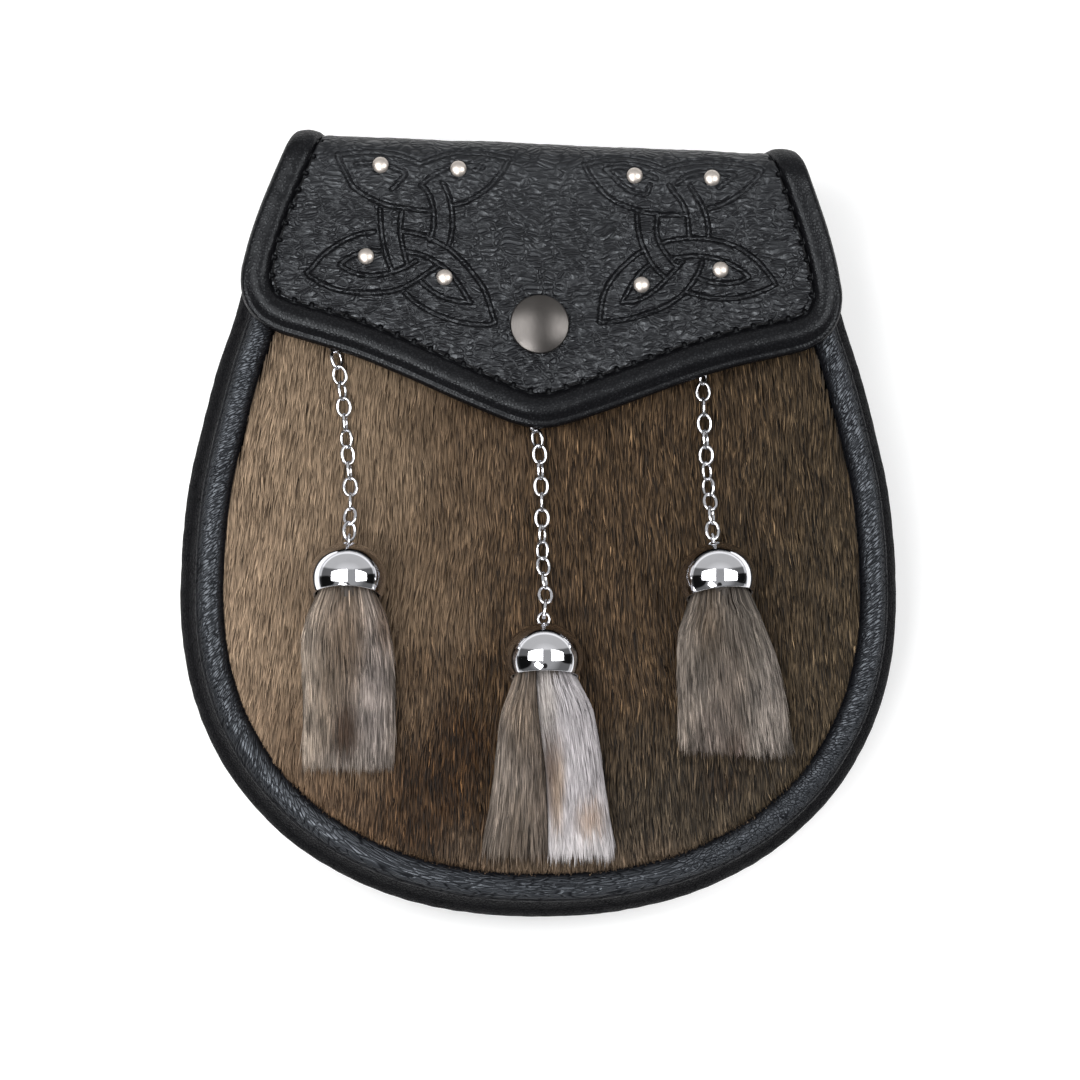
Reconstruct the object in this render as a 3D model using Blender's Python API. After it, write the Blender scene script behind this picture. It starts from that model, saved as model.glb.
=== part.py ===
# A day sporran: a leather pouch with a fur front, a bound flap over its mouth, and three chains that
# carry chrome bells and fur tassels. It lies on its back. +Z points out of its front and +Y to its mouth.
# Sizes are in millimetres until place_in_scene scales each finished mesh to metres.

from math import cos, hypot, pi, radians, sin

import bmesh
import bpy
from mathutils import Matrix, Vector

MM = 0.001
GAP = 0.3  # left between a piece and what it rests on

# The body's outline from the front
BODY_HALF_WIDTH = 97.0
BOWL_CENTRE_Y = -18.2
BOWL_DEPTH = 87.4
BOWL_POWER = 2.2  # a superellipse, a little squarer than an ellipse
BODY_STATIONS = 32  # sections round the sides and the bowl
# Above the bowl: (height up the body, half width)
BODY_SIDE = [
    (BOWL_CENTRE_Y, BODY_HALF_WIDTH),
    (-4.9, 96.5),
    (11.0, 94.7),
    (27.0, 91.2),
    (43.0, 87.0),
    (55.0, 83.1),
    (72.0, 78.4),
    (94.0, 73.0),
]

# Welts: leather rolled round a cord. inset is from the body's outline to the roll's centre.
FRONT_WELT = {"radius": 3.8, "inset": 8.6, "centre_z": 40.2, "sides": 8}
REAR_WELT = {"radius": 3.6, "inset": 8.0, "centre_z": 3.33, "sides": 8}
WELT_END_BACK = 3.2  # how far a roll stops short of the gusset's end
WELT_END_LENGTH = 0.6  # of the radius
WELT_END_SCALE = 0.7

# Gusset
GUSSET_WALL = 1.6
GUSSET_EDGE_INSET = 6.0  # at both seams; it bulges to the outline halfway
GUSSET_LOW_Z = 7.0
GUSSET_HIGH_Z = 36.3
GUSSET_ROWS = 5

# Panels
BACK_TOP_Y = 91.3
BACK_INSET = GUSSET_EDGE_INSET + GUSSET_WALL + GAP
BACK_LOW_Z = 7.0
BACK_WALL = 1.8
FUR_TOP_Y = 88.5
FUR_INSET = FRONT_WELT["inset"] + FRONT_WELT["radius"] + GAP
FUR_LOW_Z = 37.4
FUR_WALL = 3.2  # hide and the short hair that lies on it
FUR_DOME = 0.8
FUR_DOME_CENTRE_Y = -22.0
FUR_DOME_HALF = (84.0, 75.0)  # reach of the dome along X and Y
PANEL_TOP_COLUMNS = 8
PANEL_RING = 0.6  # size of the shrunk copy of the outline inside it

# Flap. "along" is measured up the flap's front face, on over the top and down the back.
FLAP_THICK = 3.0
FLAP_LOW_Z = 45.6  # underside of the front face
FLAP_CENTRE_X = -0.5
FLAP_TURN_Y = 60.0
FLAP_SKEW = radians(-1.8)  # it sits slightly turned on the body
FLAP_TOP_Y = 101.0
FLAP_BEND = 8.0  # outer radius where it turns over the top, front and back
FLAP_REAR_Z = BACK_LOW_Z - GAP - FLAP_THICK  # outer face of the strip sewn to the back
FLAP_BEND_STEPS = 4
FLAP_STRIP_LENGTH = 13.0
# Half width of the flap with its binding: (along, half width)
FLAP_SIDE = [
    (64.0, 79.7),
    (72.0, 77.9),
    (80.0, 75.5),
    (88.0, 72.6),
    (96.0, 69.5),
    (104.0, 66.4),
    (118.0, 64.2),
    (132.0, 62.0),
    (156.0, 60.0),
]
FLAP_FRONT_ROWS = (86.0, 79.0, 72.0, 64.0)
FLAP_CORNER = ((79.7, 64.0), (81.3, 49.6), (66.0, 46.2))  # start, pull and end of the round
FLAP_CORNER_STEPS = 4
# Lower edge, a blunt V: (across, along)
FLAP_LOWER = [
    (0.0, 24.3),
    (6.0, 25.2),
    (13.0, 27.6),
    (23.0, 31.5),
    (37.0, 37.2),
    (50.0, 41.9),
    (66.0, 46.2),
]
FLAP_LOWER_COLUMNS = (53.0, 40.0, 27.0, 14.0, 5.0, 0.0)

# Binding, folded over the flap's edge
BINDING_SIDE_WIDTH = 7.2
BINDING_LOWER_WIDTH = 8.8
BINDING_WIDEN = (70.0, 46.0)  # it widens between these places along the side
BINDING_TUCK = 2.5  # how far the flap reaches into it
# Outer face of the fold: (share of the width, lift from the middle of the flap)
BINDING_OUTER = [(0.02, -1.2), (0.0, 0.3), (0.09, 2.1), (0.34, 3.3), (0.72, 3.3), (1.0, 2.3)]
BINDING_UNDER = [(0.96, -2.25), (0.15, -2.25)]

# Metal on the flap, turned: (radius, height)
SNAP_PROFILE = [(7.7, 0.0), (8.0, 0.4), (7.4, 1.2), (5.6, 2.3), (3.0, 2.95), (0.0, 3.15)]
SNAP_AT = (-0.6, 51.6)  # across, along
SNAP_SIDES = 16
POST_RADIUS = 5.0
POST_SIDES = 12
STUD_PROFILE = [(2.15, 0.0), (1.65, 0.95), (0.0, 1.35)]
STUD_SIDES = 10
STUDS = [(23.4, 92.2), (44.0, 92.4), (47.0, 68.0), (26.1, 63.2)]  # across, along; mirrored

# Chains
LINK_LENGTH = 5.55
LINK_WIDTH = 4.2
LINK_WIRE = 0.36  # radius
LINK_SIDES = 10
WIRE_SIDES = 5
LINK_BITE = 0.16  # how deep neighbours meet, which fuses the chain
LINK_PITCH = LINK_LENGTH - 4 * LINK_WIRE + LINK_BITE

# Bells, turned about their axis from the mouth: (radius, height)
BELL_WIDEST = (9.45, 4.6)
BELL_OUTER = [
    (8.9, 0.0),
    (9.35, 2.2),
    BELL_WIDEST,
    (9.0, 7.2),
    (7.5, 9.8),
    (5.0, 11.8),
    (2.5, 12.8),
    (0.0, 13.1),
]
BELL_INNER = [(8.0, 0.0), (8.45, 3.6), (7.5, 8.0), (4.4, 10.9), (0.0, 11.8)]
BELL_SIDES = 12
EYE_RADIUS = 1.5
EYE_WIRE = 0.38
EYE_HEIGHT = 14.1  # of its hole above the mouth
EYE_SIDES = 10
LINK_IN_EYE = 0.1  # the last link's end above the eye's centre

# Anchors, a wire staple each
STAPLE_RADIUS = 1.15
STAPLE_WIRE = 0.4
STAPLE_ARC_STEPS = 6
STAPLE_SIDES = 5

# Tassels
HEAD_RADIUS = 7.5
HEAD_HEIGHTS = (1.0, 5.0)
HEAD_SIDES = 8
LOCK_SIDES = 6
# Each lock: across and up where it leaves the bell, across at the spread, then across, length and
# up at its tip
TASSELS = {
    "left": [
        (-4.2, -3.2, -8.0, -8.3, 45.0, -8.0),
        (-1.4, -4.4, -2.8, -2.9, 46.2, -8.0),
        (1.4, -4.4, 3.1, 3.2, 45.8, -8.0),
        (4.2, -3.2, 8.8, 9.2, 45.2, -8.0),
        (-2.4, 3.4, -5.0, -5.6, 44.6, -5.2),
        (2.4, 3.4, 5.6, 6.2, 45.4, -5.2),
    ],
    "centre": [
        (-4.4, -3.0, -8.2, -13.4, 48.4, -8.0),
        (-1.6, -4.4, -4.0, -7.0, 48.0, -8.0),
        (1.4, -4.4, 4.4, 6.6, 47.6, -8.0),
        (4.4, -3.0, 9.8, 15.0, 47.4, -8.0),
        (-2.6, 3.2, -4.4, -9.0, 47.4, -5.2),
        (2.6, 3.4, 6.2, 10.4, 48.2, -5.2),
    ],
    "right": [
        (-4.4, -3.2, -7.0, -6.2, 42.0, -8.0),
        (-1.4, -4.4, -1.6, 1.4, 41.4, -8.0),
        (1.4, -4.4, 4.4, 9.0, 42.4, -8.0),
        (4.4, -3.0, 10.8, 17.2, 42.2, -8.0),
        (-2.4, 3.4, -3.0, 0.4, 44.6, -5.2),
        (2.6, 3.4, 6.6, 12.4, 42.0, -5.2),
    ],
}
LOW_LOCK_SPREAD = -7.5  # height at the spread of a lock that leaves low in the bell
HIGH_LOCK_SPREAD = 1.2
# A lock's sections: (distance below the mouth, half width, half thickness)
LOCK_IN_BELL = [(-2.0, 2.0, 1.8), (1.6, 2.3, 2.1)]
LOCK_SPREAD = (9.0, 3.8, 2.6)
LOCK_TAIL = [(0.6, 3.8, 2.2), (1.0, 2.6, 1.2)]  # the first column is a share of the length past the spread

# Each hanging: the centre of the bell's mouth (x, y), how far its apex dips and its axis turns, in degrees,
# and whether its eye lies flat; then the chain's way up from the eye, as (y, x), the height at which the
# flap covers it, and each link's roll in degrees, from the bell up.
HANGINGS = {
    "left": {
        "mouth": (-51.9, -19.7),
        "dip": 10.0,
        "turn": 0.0,
        "flat_eye": False,
        "way": [
            (1.2, -51.2),
            (9.7, -51.2),
            (18.2, -52.0),
            (31.4, -53.1),
            (38.1, -53.9),
            (43.7, -55.2),
            (57.0, -57.2),
        ],
        "covered_from": 43.7,
        "rolls": (30, -30, 88, 0, 78, 25, -38, 80, 0, 62, -10, 42, -52, 5),
    },
    "centre": {
        "mouth": (-0.3, -40.4),
        "dip": 7.0,
        "turn": 0.0,
        "flat_eye": True,
        "way": [
            (-20.0, 0.3),
            (-9.7, -0.3),
            (2.5, -0.5),
            (11.5, -0.8),
            (20.3, -1.3),
            (24.3, -2.2),
            (40.0, -4.0),
        ],
        "covered_from": 24.3,
        "rolls": (88, 8, 72, 20, -40, 62, 0, 88, 2, 68, 10, -45, 45, -5),
    },
    "right": {
        "mouth": (45.9, -19.5),
        "dip": 8.0,
        "turn": -2.0,
        "flat_eye": False,
        "way": [(5.7, 44.1), (14.5, 43.3), (19.2, 43.3), (27.7, 42.7), (37.0, 42.5), (54.0, 42.5)],
        "covered_from": 37.5,
        "rolls": (12, 66, 12, -42, 48, -8, 68, 2, 88, 0, 60, 5),
    },
}
CHAIN_LIFT = 2.45  # the chain's axis above the fur, for links that stand on edge
CHAIN_LOW_LIFT = 1.9  # under the flap, where they lie over
CHAIN_LOW_RUN = (6.0, 2.0)  # it sinks to the low lift between these distances before the flap
CHAIN_RISE = 16.0  # the stretch that climbs to the bell's eye

# Belt loops on the back: a strap sewn down at both ends
LOOP_X = 38.0
LOOP_HALF_WIDTH = 10.0
LOOP_ENDS_Y = (26.0, 74.0)
LOOP_TAB = 7.0
LOOP_RISE = 6.0
LOOP_THICK = 1.9

# Colours: (red, green, blue), roughness, metallic
FINISHES = {
    "black_leather": ((0.012, 0.012, 0.014), 0.45, 0.0),
    "brown_fur": ((0.085, 0.062, 0.047), 0.7, 0.0),
    "grey_fur": ((0.22, 0.19, 0.17), 0.7, 0.0),
    "chrome": ((0.75, 0.75, 0.77), 0.08, 1.0),
    "gunmetal": ((0.16, 0.155, 0.15), 0.32, 1.0),
    "plain_steel": ((0.4, 0.4, 0.4), 0.4, 1.0),
}


def smooth(rows, at):
    """The value at a position, on a smooth curve through rows of (position, value)."""
    at = min(max(at, rows[0][0]), rows[-1][0])
    i = next(k for k in range(len(rows) - 1) if at <= rows[k + 1][0])

    def slope(k):
        before, after = rows[max(k - 1, 0)], rows[min(k + 1, len(rows) - 1)]
        return (after[1] - before[1]) / (after[0] - before[0])

    (x0, v0), (x1, v1) = rows[i], rows[i + 1]
    step = x1 - x0
    t = (at - x0) / step
    rise = (v1 - v0) * t * t * (3 - 2 * t)
    return v0 + rise + step * (slope(i) * t * (1 - t) ** 2 - slope(i + 1) * t * t * (1 - t))


def finish(name):
    """The named material, made the first time it is asked for."""
    material = bpy.data.materials.get(name)
    if material is None:
        colour, roughness, metallic = FINISHES[name]
        material = bpy.data.materials.new(name)
        material.use_nodes = True
        shader = material.node_tree.nodes["Principled BSDF"]
        shader.inputs["Base Color"].default_value = (*colour, 1.0)
        shader.inputs["Roughness"].default_value = roughness
        shader.inputs["Metallic"].default_value = metallic
        material.diffuse_color = (*colour, 1.0)
    return material


def place_in_scene(name, bm, material, turn=None, smooth_angle=None):
    """Makes an object from a mesh in millimetres, turned first if asked, and returns it."""
    if turn is not None:
        bm.transform(turn)
    bm.transform(Matrix.Scale(MM, 4))
    bmesh.ops.recalc_face_normals(bm, faces=bm.faces)
    mesh = bpy.data.meshes.new(name)
    bm.to_mesh(mesh)
    bm.free()
    mesh.materials.append(finish(material))
    if smooth_angle is not None:
        mesh.shade_smooth()
        mesh.set_sharp_from_angle(angle=radians(smooth_angle))
    obj = bpy.data.objects.new(name, mesh)
    bpy.context.scene.collection.objects.link(obj)
    return obj


def loft(bm, rings, closed=False):
    """Skins a row of rings of equal count; the ends are capped unless the row closes on itself."""
    made = [[bm.verts.new(p) for p in ring] for ring in rings]
    count = len(made[0])
    pairs = list(zip(made, made[1:] + made[:1])) if closed else list(zip(made, made[1:]))
    for a, b in pairs:
        for k in range(count):
            n = (k + 1) % count
            bm.faces.new((a[k], a[n], b[n], b[k]))
    if not closed:
        bm.faces.new(made[0])
        bm.faces.new(list(reversed(made[-1])))


def turned(bm, profile, sides):
    """Turns a profile of (radius, height) about Z; it runs from the rim to a point on the axis."""
    rings = []
    for radius, height in profile:
        if radius == 0.0:
            rings.append([bm.verts.new((0.0, 0.0, height))])
        else:
            angles = [2 * pi * k / sides for k in range(sides)]
            rings.append([bm.verts.new((radius * cos(a), radius * sin(a), height)) for a in angles])
    for a, b in zip(rings, rings[1:]):
        for k in range(sides):
            n = (k + 1) % sides
            if len(b) == 1:
                bm.faces.new((a[k], a[n], b[0]))
            else:
                bm.faces.new((a[k], a[n], b[n], b[k]))
    return rings


def oval_ring(bm, half_length, half_width, wire, sides, matrix):
    """A closed wire ring in the XY plane of matrix, its length along Y."""
    rings = []
    for k in range(sides):
        a = 2 * pi * k / sides
        centre = Vector((half_width * sin(a), half_length * cos(a), 0.0))
        outward = Vector((half_length * sin(a), half_width * cos(a), 0.0)).normalized()
        ring = []
        for j in range(WIRE_SIDES):
            b = 2 * pi * j / WIRE_SIDES
            ring.append(matrix @ (centre + wire * (cos(b) * outward + sin(b) * Vector((0.0, 0.0, 1.0)))))
        rings.append(ring)
    loft(bm, rings, closed=True)


def union(name, parts, material, smooth_angle=None):
    """Fuses meshes in millimetres into one object with Boolean unions, and returns it."""
    whole = place_in_scene(name, parts[0], material)
    for part in parts[1:]:
        tool = place_in_scene(name + "_tool", part, material)
        modifier = whole.modifiers.new("union", "BOOLEAN")
        modifier.operation = "UNION"
        modifier.solver = "EXACT"
        modifier.object = tool
        bpy.context.view_layer.update()
        merged = bpy.data.meshes.new_from_object(whole.evaluated_get(bpy.context.evaluated_depsgraph_get()))
        whole.modifiers.clear()
        whole.data = merged
        bpy.data.objects.remove(tool)
    whole.data.name = name
    if smooth_angle is not None:
        whole.data.shade_smooth()
        whole.data.set_sharp_from_angle(angle=radians(smooth_angle))
    return whole


def body_outline():
    """Equal steps down the left side, round the bowl and up the right: (point, outward normal)."""
    side_steps, bowl_steps = 60, 90
    top = BODY_SIDE[-1][0]
    half = []
    for k in range(side_steps):
        y = top + (BOWL_CENTRE_Y - top) * k / side_steps
        half.append((smooth(BODY_SIDE, y), y))
    for k in range(bowl_steps + 1):
        a = 0.5 * pi * k / bowl_steps
        x = BODY_HALF_WIDTH * max(cos(a), 0.0) ** (2 / BOWL_POWER)
        half.append((x, BOWL_CENTRE_Y - BOWL_DEPTH * sin(a) ** (2 / BOWL_POWER)))
    path = [Vector((-x, y)) for x, y in half] + [Vector((x, y)) for x, y in reversed(half[:-1])]
    lengths = [0.0]
    for a, b in zip(path, path[1:]):
        lengths.append(lengths[-1] + (b - a).length)

    def at(distance):
        distance = min(max(distance, 0.0), lengths[-1])
        i = next(k for k in range(len(path) - 1) if distance <= lengths[k + 1])
        return path[i].lerp(path[i + 1], (distance - lengths[i]) / (lengths[i + 1] - lengths[i]))

    found = []
    for k in range(BODY_STATIONS + 1):
        distance = lengths[-1] * k / BODY_STATIONS
        along = at(distance + 3.0) - at(distance - 3.0)
        found.append((at(distance), Vector((along.y, -along.x)).normalized()))
    return found


def inset_points(inset):
    return [point - normal * inset for point, normal in body_outline()]


def panel_outline(inset, top_y):
    """The body's outline moved in and cut off straight at top_y, as a closed ring of points."""
    points = inset_points(inset)
    below = [p for p in points if p.y < top_y - 2.0]
    i = points.index(below[0])
    a, b = points[i - 1], points[i]
    corner = a.lerp(b, (top_y - a.y) / (b.y - a.y))
    top = []
    for k in range(PANEL_TOP_COLUMNS + 1):
        top.append(Vector((-corner.x * (1 - 2 * k / PANEL_TOP_COLUMNS), top_y)))
    return below + top


def fur_surface(x, y):
    """The height of the fur panel's outer face."""
    reach = (x / FUR_DOME_HALF[0]) ** 2 + ((y - FUR_DOME_CENTRE_Y) / FUR_DOME_HALF[1]) ** 2
    return FUR_LOW_Z + FUR_WALL + FUR_DOME * max(1.0 - reach, 0.0)


def make_panel(name, outline, centre, lower, upper, material):
    """A closed plate between two height functions, with a ring inside it that follows its outline."""
    bm = bmesh.new()
    rings = [outline, [centre + (p - centre) * PANEL_RING for p in outline]]
    count = len(outline)
    rims = []
    for height in (upper, lower):
        made = [[bm.verts.new((p.x, p.y, height(p.x, p.y))) for p in ring] for ring in rings]
        middle = bm.verts.new((centre.x, centre.y, height(centre.x, centre.y)))
        for k in range(count):
            n = (k + 1) % count
            for a, b in zip(made, made[1:]):
                bm.faces.new((a[k], a[n], b[n], b[k]))
            bm.faces.new((made[-1][k], made[-1][n], middle))
        rims.append(made[0])
    for k in range(count):
        n = (k + 1) % count
        bm.faces.new((rims[0][k], rims[0][n], rims[1][n], rims[1][k]))
    return place_in_scene(name, bm, material, smooth_angle=40)


def make_fur_panel():
    outline = panel_outline(FUR_INSET, FUR_TOP_Y)

    def lower(x, y):
        return fur_surface(x, y) - FUR_WALL

    centre = Vector((0.0, FUR_DOME_CENTRE_Y))
    return make_panel("front_panel", outline, centre, lower, fur_surface, "brown_fur")


def make_back_panel():
    bm = bmesh.new()
    outline = panel_outline(BACK_INSET, BACK_TOP_Y)
    loft(bm, [[(p.x, p.y, z) for p in outline] for z in (BACK_LOW_Z, BACK_LOW_Z + BACK_WALL)])
    return place_in_scene("back_panel", bm, "black_leather")


def make_gusset():
    bm = bmesh.new()
    rows = []
    for k in range(GUSSET_ROWS):
        share = k / (GUSSET_ROWS - 1)
        z = GUSSET_LOW_Z + (GUSSET_HIGH_Z - GUSSET_LOW_Z) * share
        rows.append((GUSSET_EDGE_INSET * (2 * share - 1) ** 2, z))
    section = rows + [(inset + GUSSET_WALL, z) for inset, z in reversed(rows)]
    rings = []
    for point, normal in body_outline():
        flat = [(point - normal * inset, z) for inset, z in section]
        rings.append([(p.x, p.y, z) for p, z in flat])
    loft(bm, rings)
    return place_in_scene("gusset", bm, "black_leather", smooth_angle=40)


def make_welt(name, radius, inset, centre_z, sides):
    """A roll along the body's outline, drawn in at both ends."""
    bm = bmesh.new()
    stations = [(point - normal * inset, normal, 1.0) for point, normal in body_outline()]
    for end, neighbour in ((0, 1), (-1, -2)):
        point, normal, _ = stations[end]
        away = (point - stations[neighbour][0]).normalized()
        point = point - away * WELT_END_BACK
        stations[end] = (point, normal, 1.0)
        tip = (point + away * radius * WELT_END_LENGTH, normal, WELT_END_SCALE)
        stations.insert(0 if end == 0 else len(stations), tip)
    rings = []
    for point, normal, scale in stations:
        ring = []
        for k in range(sides):
            a = 2 * pi * (k + 0.5) / sides
            p = point + normal * radius * scale * cos(a)
            ring.append((p.x, p.y, centre_z + radius * scale * sin(a)))
        rings.append(ring)
    loft(bm, rings)
    return place_in_scene(name, bm, "black_leather", smooth_angle=50)


def flap_place(across, along, lift):
    """The point of the bent, skewed flap at a place on its flat pattern, lifted off its middle layer."""
    middle_z = FLAP_LOW_Z + FLAP_THICK / 2
    bend = FLAP_BEND - FLAP_THICK / 2
    start = FLAP_TOP_Y - FLAP_BEND
    turn = bend * pi / 2
    front_z = middle_z - bend
    rear_z = FLAP_REAR_Z + FLAP_BEND
    if along <= start:
        y, z, normal = along, middle_z, (0.0, 1.0)
    elif along <= start + turn:
        a = (along - start) / bend
        y, z, normal = start + bend * sin(a), front_z + bend * cos(a), (sin(a), cos(a))
    elif along <= start + turn + front_z - rear_z:
        y, z, normal = start + bend, front_z - (along - start - turn), (1.0, 0.0)
    else:
        a = min((along - start - turn - (front_z - rear_z)) / bend, pi / 2)
        y, z, normal = start + bend * cos(a), rear_z - bend * sin(a), (cos(a), -sin(a))
        if a == pi / 2:
            y -= along - flap_rear_start()
    point = Vector((across, y + lift * normal[0] - FLAP_TURN_Y, z + lift * normal[1]))
    return Matrix.Rotation(FLAP_SKEW, 3, "Z") @ point + Vector((FLAP_CENTRE_X, FLAP_TURN_Y, 0.0))


def flap_top_start():
    """Where the flap's stretch over the mouth starts, along the flap."""
    return FLAP_TOP_Y - FLAP_BEND + (FLAP_BEND - FLAP_THICK / 2) * pi / 2


def flap_top_end():
    middle_z = FLAP_LOW_Z + FLAP_THICK / 2
    front_z = middle_z - (FLAP_BEND - FLAP_THICK / 2)
    return flap_top_start() + front_z - (FLAP_REAR_Z + FLAP_BEND)


def flap_rear_start():
    return flap_top_end() + (FLAP_BEND - FLAP_THICK / 2) * pi / 2


def flap_side_rows():
    """Places along the side from the sewn strip, over the top and down to the round corner."""
    bend_start = FLAP_TOP_Y - FLAP_BEND
    top_start, top_end, rear_start = flap_top_start(), flap_top_end(), flap_rear_start()
    rows = [rear_start + FLAP_STRIP_LENGTH, rear_start]
    for k in range(1, FLAP_BEND_STEPS + 1):
        rows.append(rear_start + (top_end - rear_start) * k / FLAP_BEND_STEPS)
    rows.append((top_end + top_start) / 2)
    for k in range(FLAP_BEND_STEPS + 1):
        rows.append(top_start + (bend_start - top_start) * k / FLAP_BEND_STEPS)
    return rows + list(FLAP_FRONT_ROWS)


def flap_corner(share):
    a, pull, b = FLAP_CORNER
    t = 1.0 - share
    return tuple(t * t * a[i] + 2 * t * share * pull[i] + share * share * b[i] for i in (0, 1))


def flap_edge():
    """The right half of the flap's outer edge on its pattern, from the back to the tip: (across, along)."""
    points = [(smooth(FLAP_SIDE, row), row) for row in flap_side_rows()]
    points += [flap_corner(k / FLAP_CORNER_STEPS) for k in range(1, FLAP_CORNER_STEPS + 1)]
    points += [(x, smooth(FLAP_LOWER, x)) for x in FLAP_LOWER_COLUMNS]
    return points


def inset_edge(points, insets):
    """Moves each point of an edge inwards, square to the edge, by its own inset."""
    mirrored = points + [(-points[-2][0], points[-2][1])]
    found = []
    for k, inset in enumerate(insets):
        before, after = mirrored[max(k - 1, 0)], mirrored[k + 1]
        dx, dy = after[0] - before[0], after[1] - before[1]
        length = hypot(dx, dy)
        found.append((points[k][0] + inset * dy / length, points[k][1] - inset * dx / length))
    return found


def binding_width(along):
    high, low = BINDING_WIDEN
    share = min(max((high - along) / (high - low), 0.0), 1.0)
    return BINDING_SIDE_WIDTH + (BINDING_LOWER_WIDTH - BINDING_SIDE_WIDTH) * share


def make_flap():
    """The flap's leather as a grid on its pattern, thickened both ways from its middle layer."""
    edge = flap_edge()
    edge = inset_edge(edge, [binding_width(along) - BINDING_TUCK for _, along in edge])
    corner = len(edge) - len(FLAP_LOWER_COLUMNS) - FLAP_CORNER_STEPS // 2 - 1
    side, lower = edge[: corner + 1], edge[corner:]
    corner_across, corner_along = lower[0]
    columns = [(-x / corner_across, y) for x, y in lower]
    columns += [(x / corner_across, y) for x, y in lower[-2::-1]]
    bend_start = FLAP_TOP_Y - FLAP_BEND
    grid = []
    for half, along in side:
        drop = min(max((bend_start - along) / (bend_start - corner_along), 0.0), 1.0)
        grid.append([(share * half, along + drop * (y - corner_along)) for share, y in columns])
    bm = bmesh.new()
    layers = []
    for lift in (FLAP_THICK / 2, -FLAP_THICK / 2):
        layers.append([[bm.verts.new(flap_place(x, y, lift)) for x, y in row] for row in grid])
    for layer in layers:
        for upper, low in zip(layer, layer[1:]):
            for k in range(len(upper) - 1):
                bm.faces.new((upper[k], upper[k + 1], low[k + 1], low[k]))
    rims = []
    for layer in layers:
        right = [row[-1] for row in layer[1:-1]]
        left = [row[0] for row in layer[-2:0:-1]]
        rims.append(layer[0] + right + layer[-1][::-1] + left)
    for k in range(len(rims[0])):
        n = (k + 1) % len(rims[0])
        bm.faces.new((rims[0][k], rims[0][n], rims[1][n], rims[1][k]))
    return place_in_scene("flap", bm, "black_leather", smooth_angle=40)


def binding_section(width):
    """The fold's section: (inwards from its outer edge, lift), with the slot that takes the flap."""
    slot = FLAP_THICK / 2 + GAP
    slot_end = width - BINDING_TUCK - GAP
    section = [(share * width, lift) for share, lift in BINDING_OUTER]
    section += [(width, slot), (slot_end, slot), (slot_end, -slot), (width, -slot)]
    return section + [(share * width, lift) for share, lift in BINDING_UNDER]


def make_binding():
    edge = flap_edge()
    first = 1 + FLAP_BEND_STEPS  # it starts where the flap turns to the back
    widths = [binding_width(along) for _, along in edge]
    columns = []
    for k in range(len(binding_section(1.0))):
        columns.append(inset_edge(edge, [binding_section(width)[k][0] for width in widths]))
    half = []
    for i, width in list(enumerate(widths))[first:]:
        section = binding_section(width)
        half.append([(*columns[k][i], section[k][1]) for k in range(len(section))])
    other = [[(-x, y, lift) for x, y, lift in ring] for ring in half[-2::-1]]
    bm = bmesh.new()
    loft(bm, [[flap_place(*p) for p in ring] for ring in half + other])
    return place_in_scene("flap_binding", bm, "black_leather", smooth_angle=50)


def rod(radius, length, sides):
    """A plain round rod along Z, centred on the origin."""
    bm = bmesh.new()
    bmesh.ops.create_cone(bm, cap_ends=True, segments=sides, radius1=radius, radius2=radius, depth=length)
    return bm


def capped_turn(profile, sides):
    bm = bmesh.new()
    rings = turned(bm, profile, sides)
    bm.faces.new(list(reversed(rings[0])))
    return bm


def make_snap():
    """The press-stud's cap on the flap, and the plain post between flap and panel under it."""
    across, along = SNAP_AT
    cap_at = flap_place(across, along, FLAP_THICK / 2 + GAP)
    cap = capped_turn(SNAP_PROFILE, SNAP_SIDES)
    place_in_scene("snap_cap", cap, "gunmetal", Matrix.Translation(cap_at), 40)
    low = fur_surface(cap_at.x, cap_at.y) + GAP
    high = FLAP_LOW_Z - GAP
    post = rod(POST_RADIUS, high - low, POST_SIDES)
    place = Matrix.Translation((cap_at.x, cap_at.y, (high + low) / 2))
    place_in_scene("snap_post", post, "plain_steel", place, 40)


def make_studs():
    places = [(-x, y) for x, y in STUDS] + STUDS
    for number, (across, along) in enumerate(places, 1):
        at = flap_place(across, along, FLAP_THICK / 2 + GAP)
        name = f"stud_{number}"
        place_in_scene(name, capped_turn(STUD_PROFILE, STUD_SIDES), "chrome", Matrix.Translation(at), 40)


def bell_frame(hanging):
    """The bell's own frame: origin at its mouth's centre, +Z along its axis to the apex."""
    dip, turn = radians(hanging["dip"]), radians(hanging["turn"])
    axis = Vector((-sin(turn) * cos(dip), cos(turn) * cos(dip), -sin(dip)))
    across = Vector((cos(turn), sin(turn), 0.0))
    out = across.cross(axis)
    radius, height = BELL_WIDEST
    x, y = hanging["mouth"]
    lowest = min(h * axis.z - r * cos(dip) for r, h in BELL_OUTER)
    z = fur_surface(x, y + height) + GAP - lowest
    frame = Matrix((across, -out, axis)).transposed().to_4x4()
    return Matrix.Translation((x, y, z)) @ frame


def make_bell(side, hanging):
    """A thin bell with its eye fused on top."""
    frame = bell_frame(hanging)
    bell = bmesh.new()
    outer = turned(bell, BELL_OUTER, BELL_SIDES)
    inner = turned(bell, BELL_INNER, BELL_SIDES)
    for k in range(BELL_SIDES):
        n = (k + 1) % BELL_SIDES
        bell.faces.new((outer[0][k], outer[0][n], inner[0][n], inner[0][k]))
    bell.transform(frame)
    eye = bmesh.new()
    stand = Matrix.Translation((0.0, 0.0, EYE_HEIGHT)) @ Matrix.Rotation(pi / 2, 4, "X")
    roll = Matrix.Rotation(0.0 if hanging["flat_eye"] else pi / 2, 4, "Z")
    oval_ring(eye, EYE_RADIUS, EYE_RADIUS, EYE_WIRE, EYE_SIDES, frame @ roll @ stand)
    return union("bell_" + side, [bell, eye], "chrome", 35)


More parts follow.
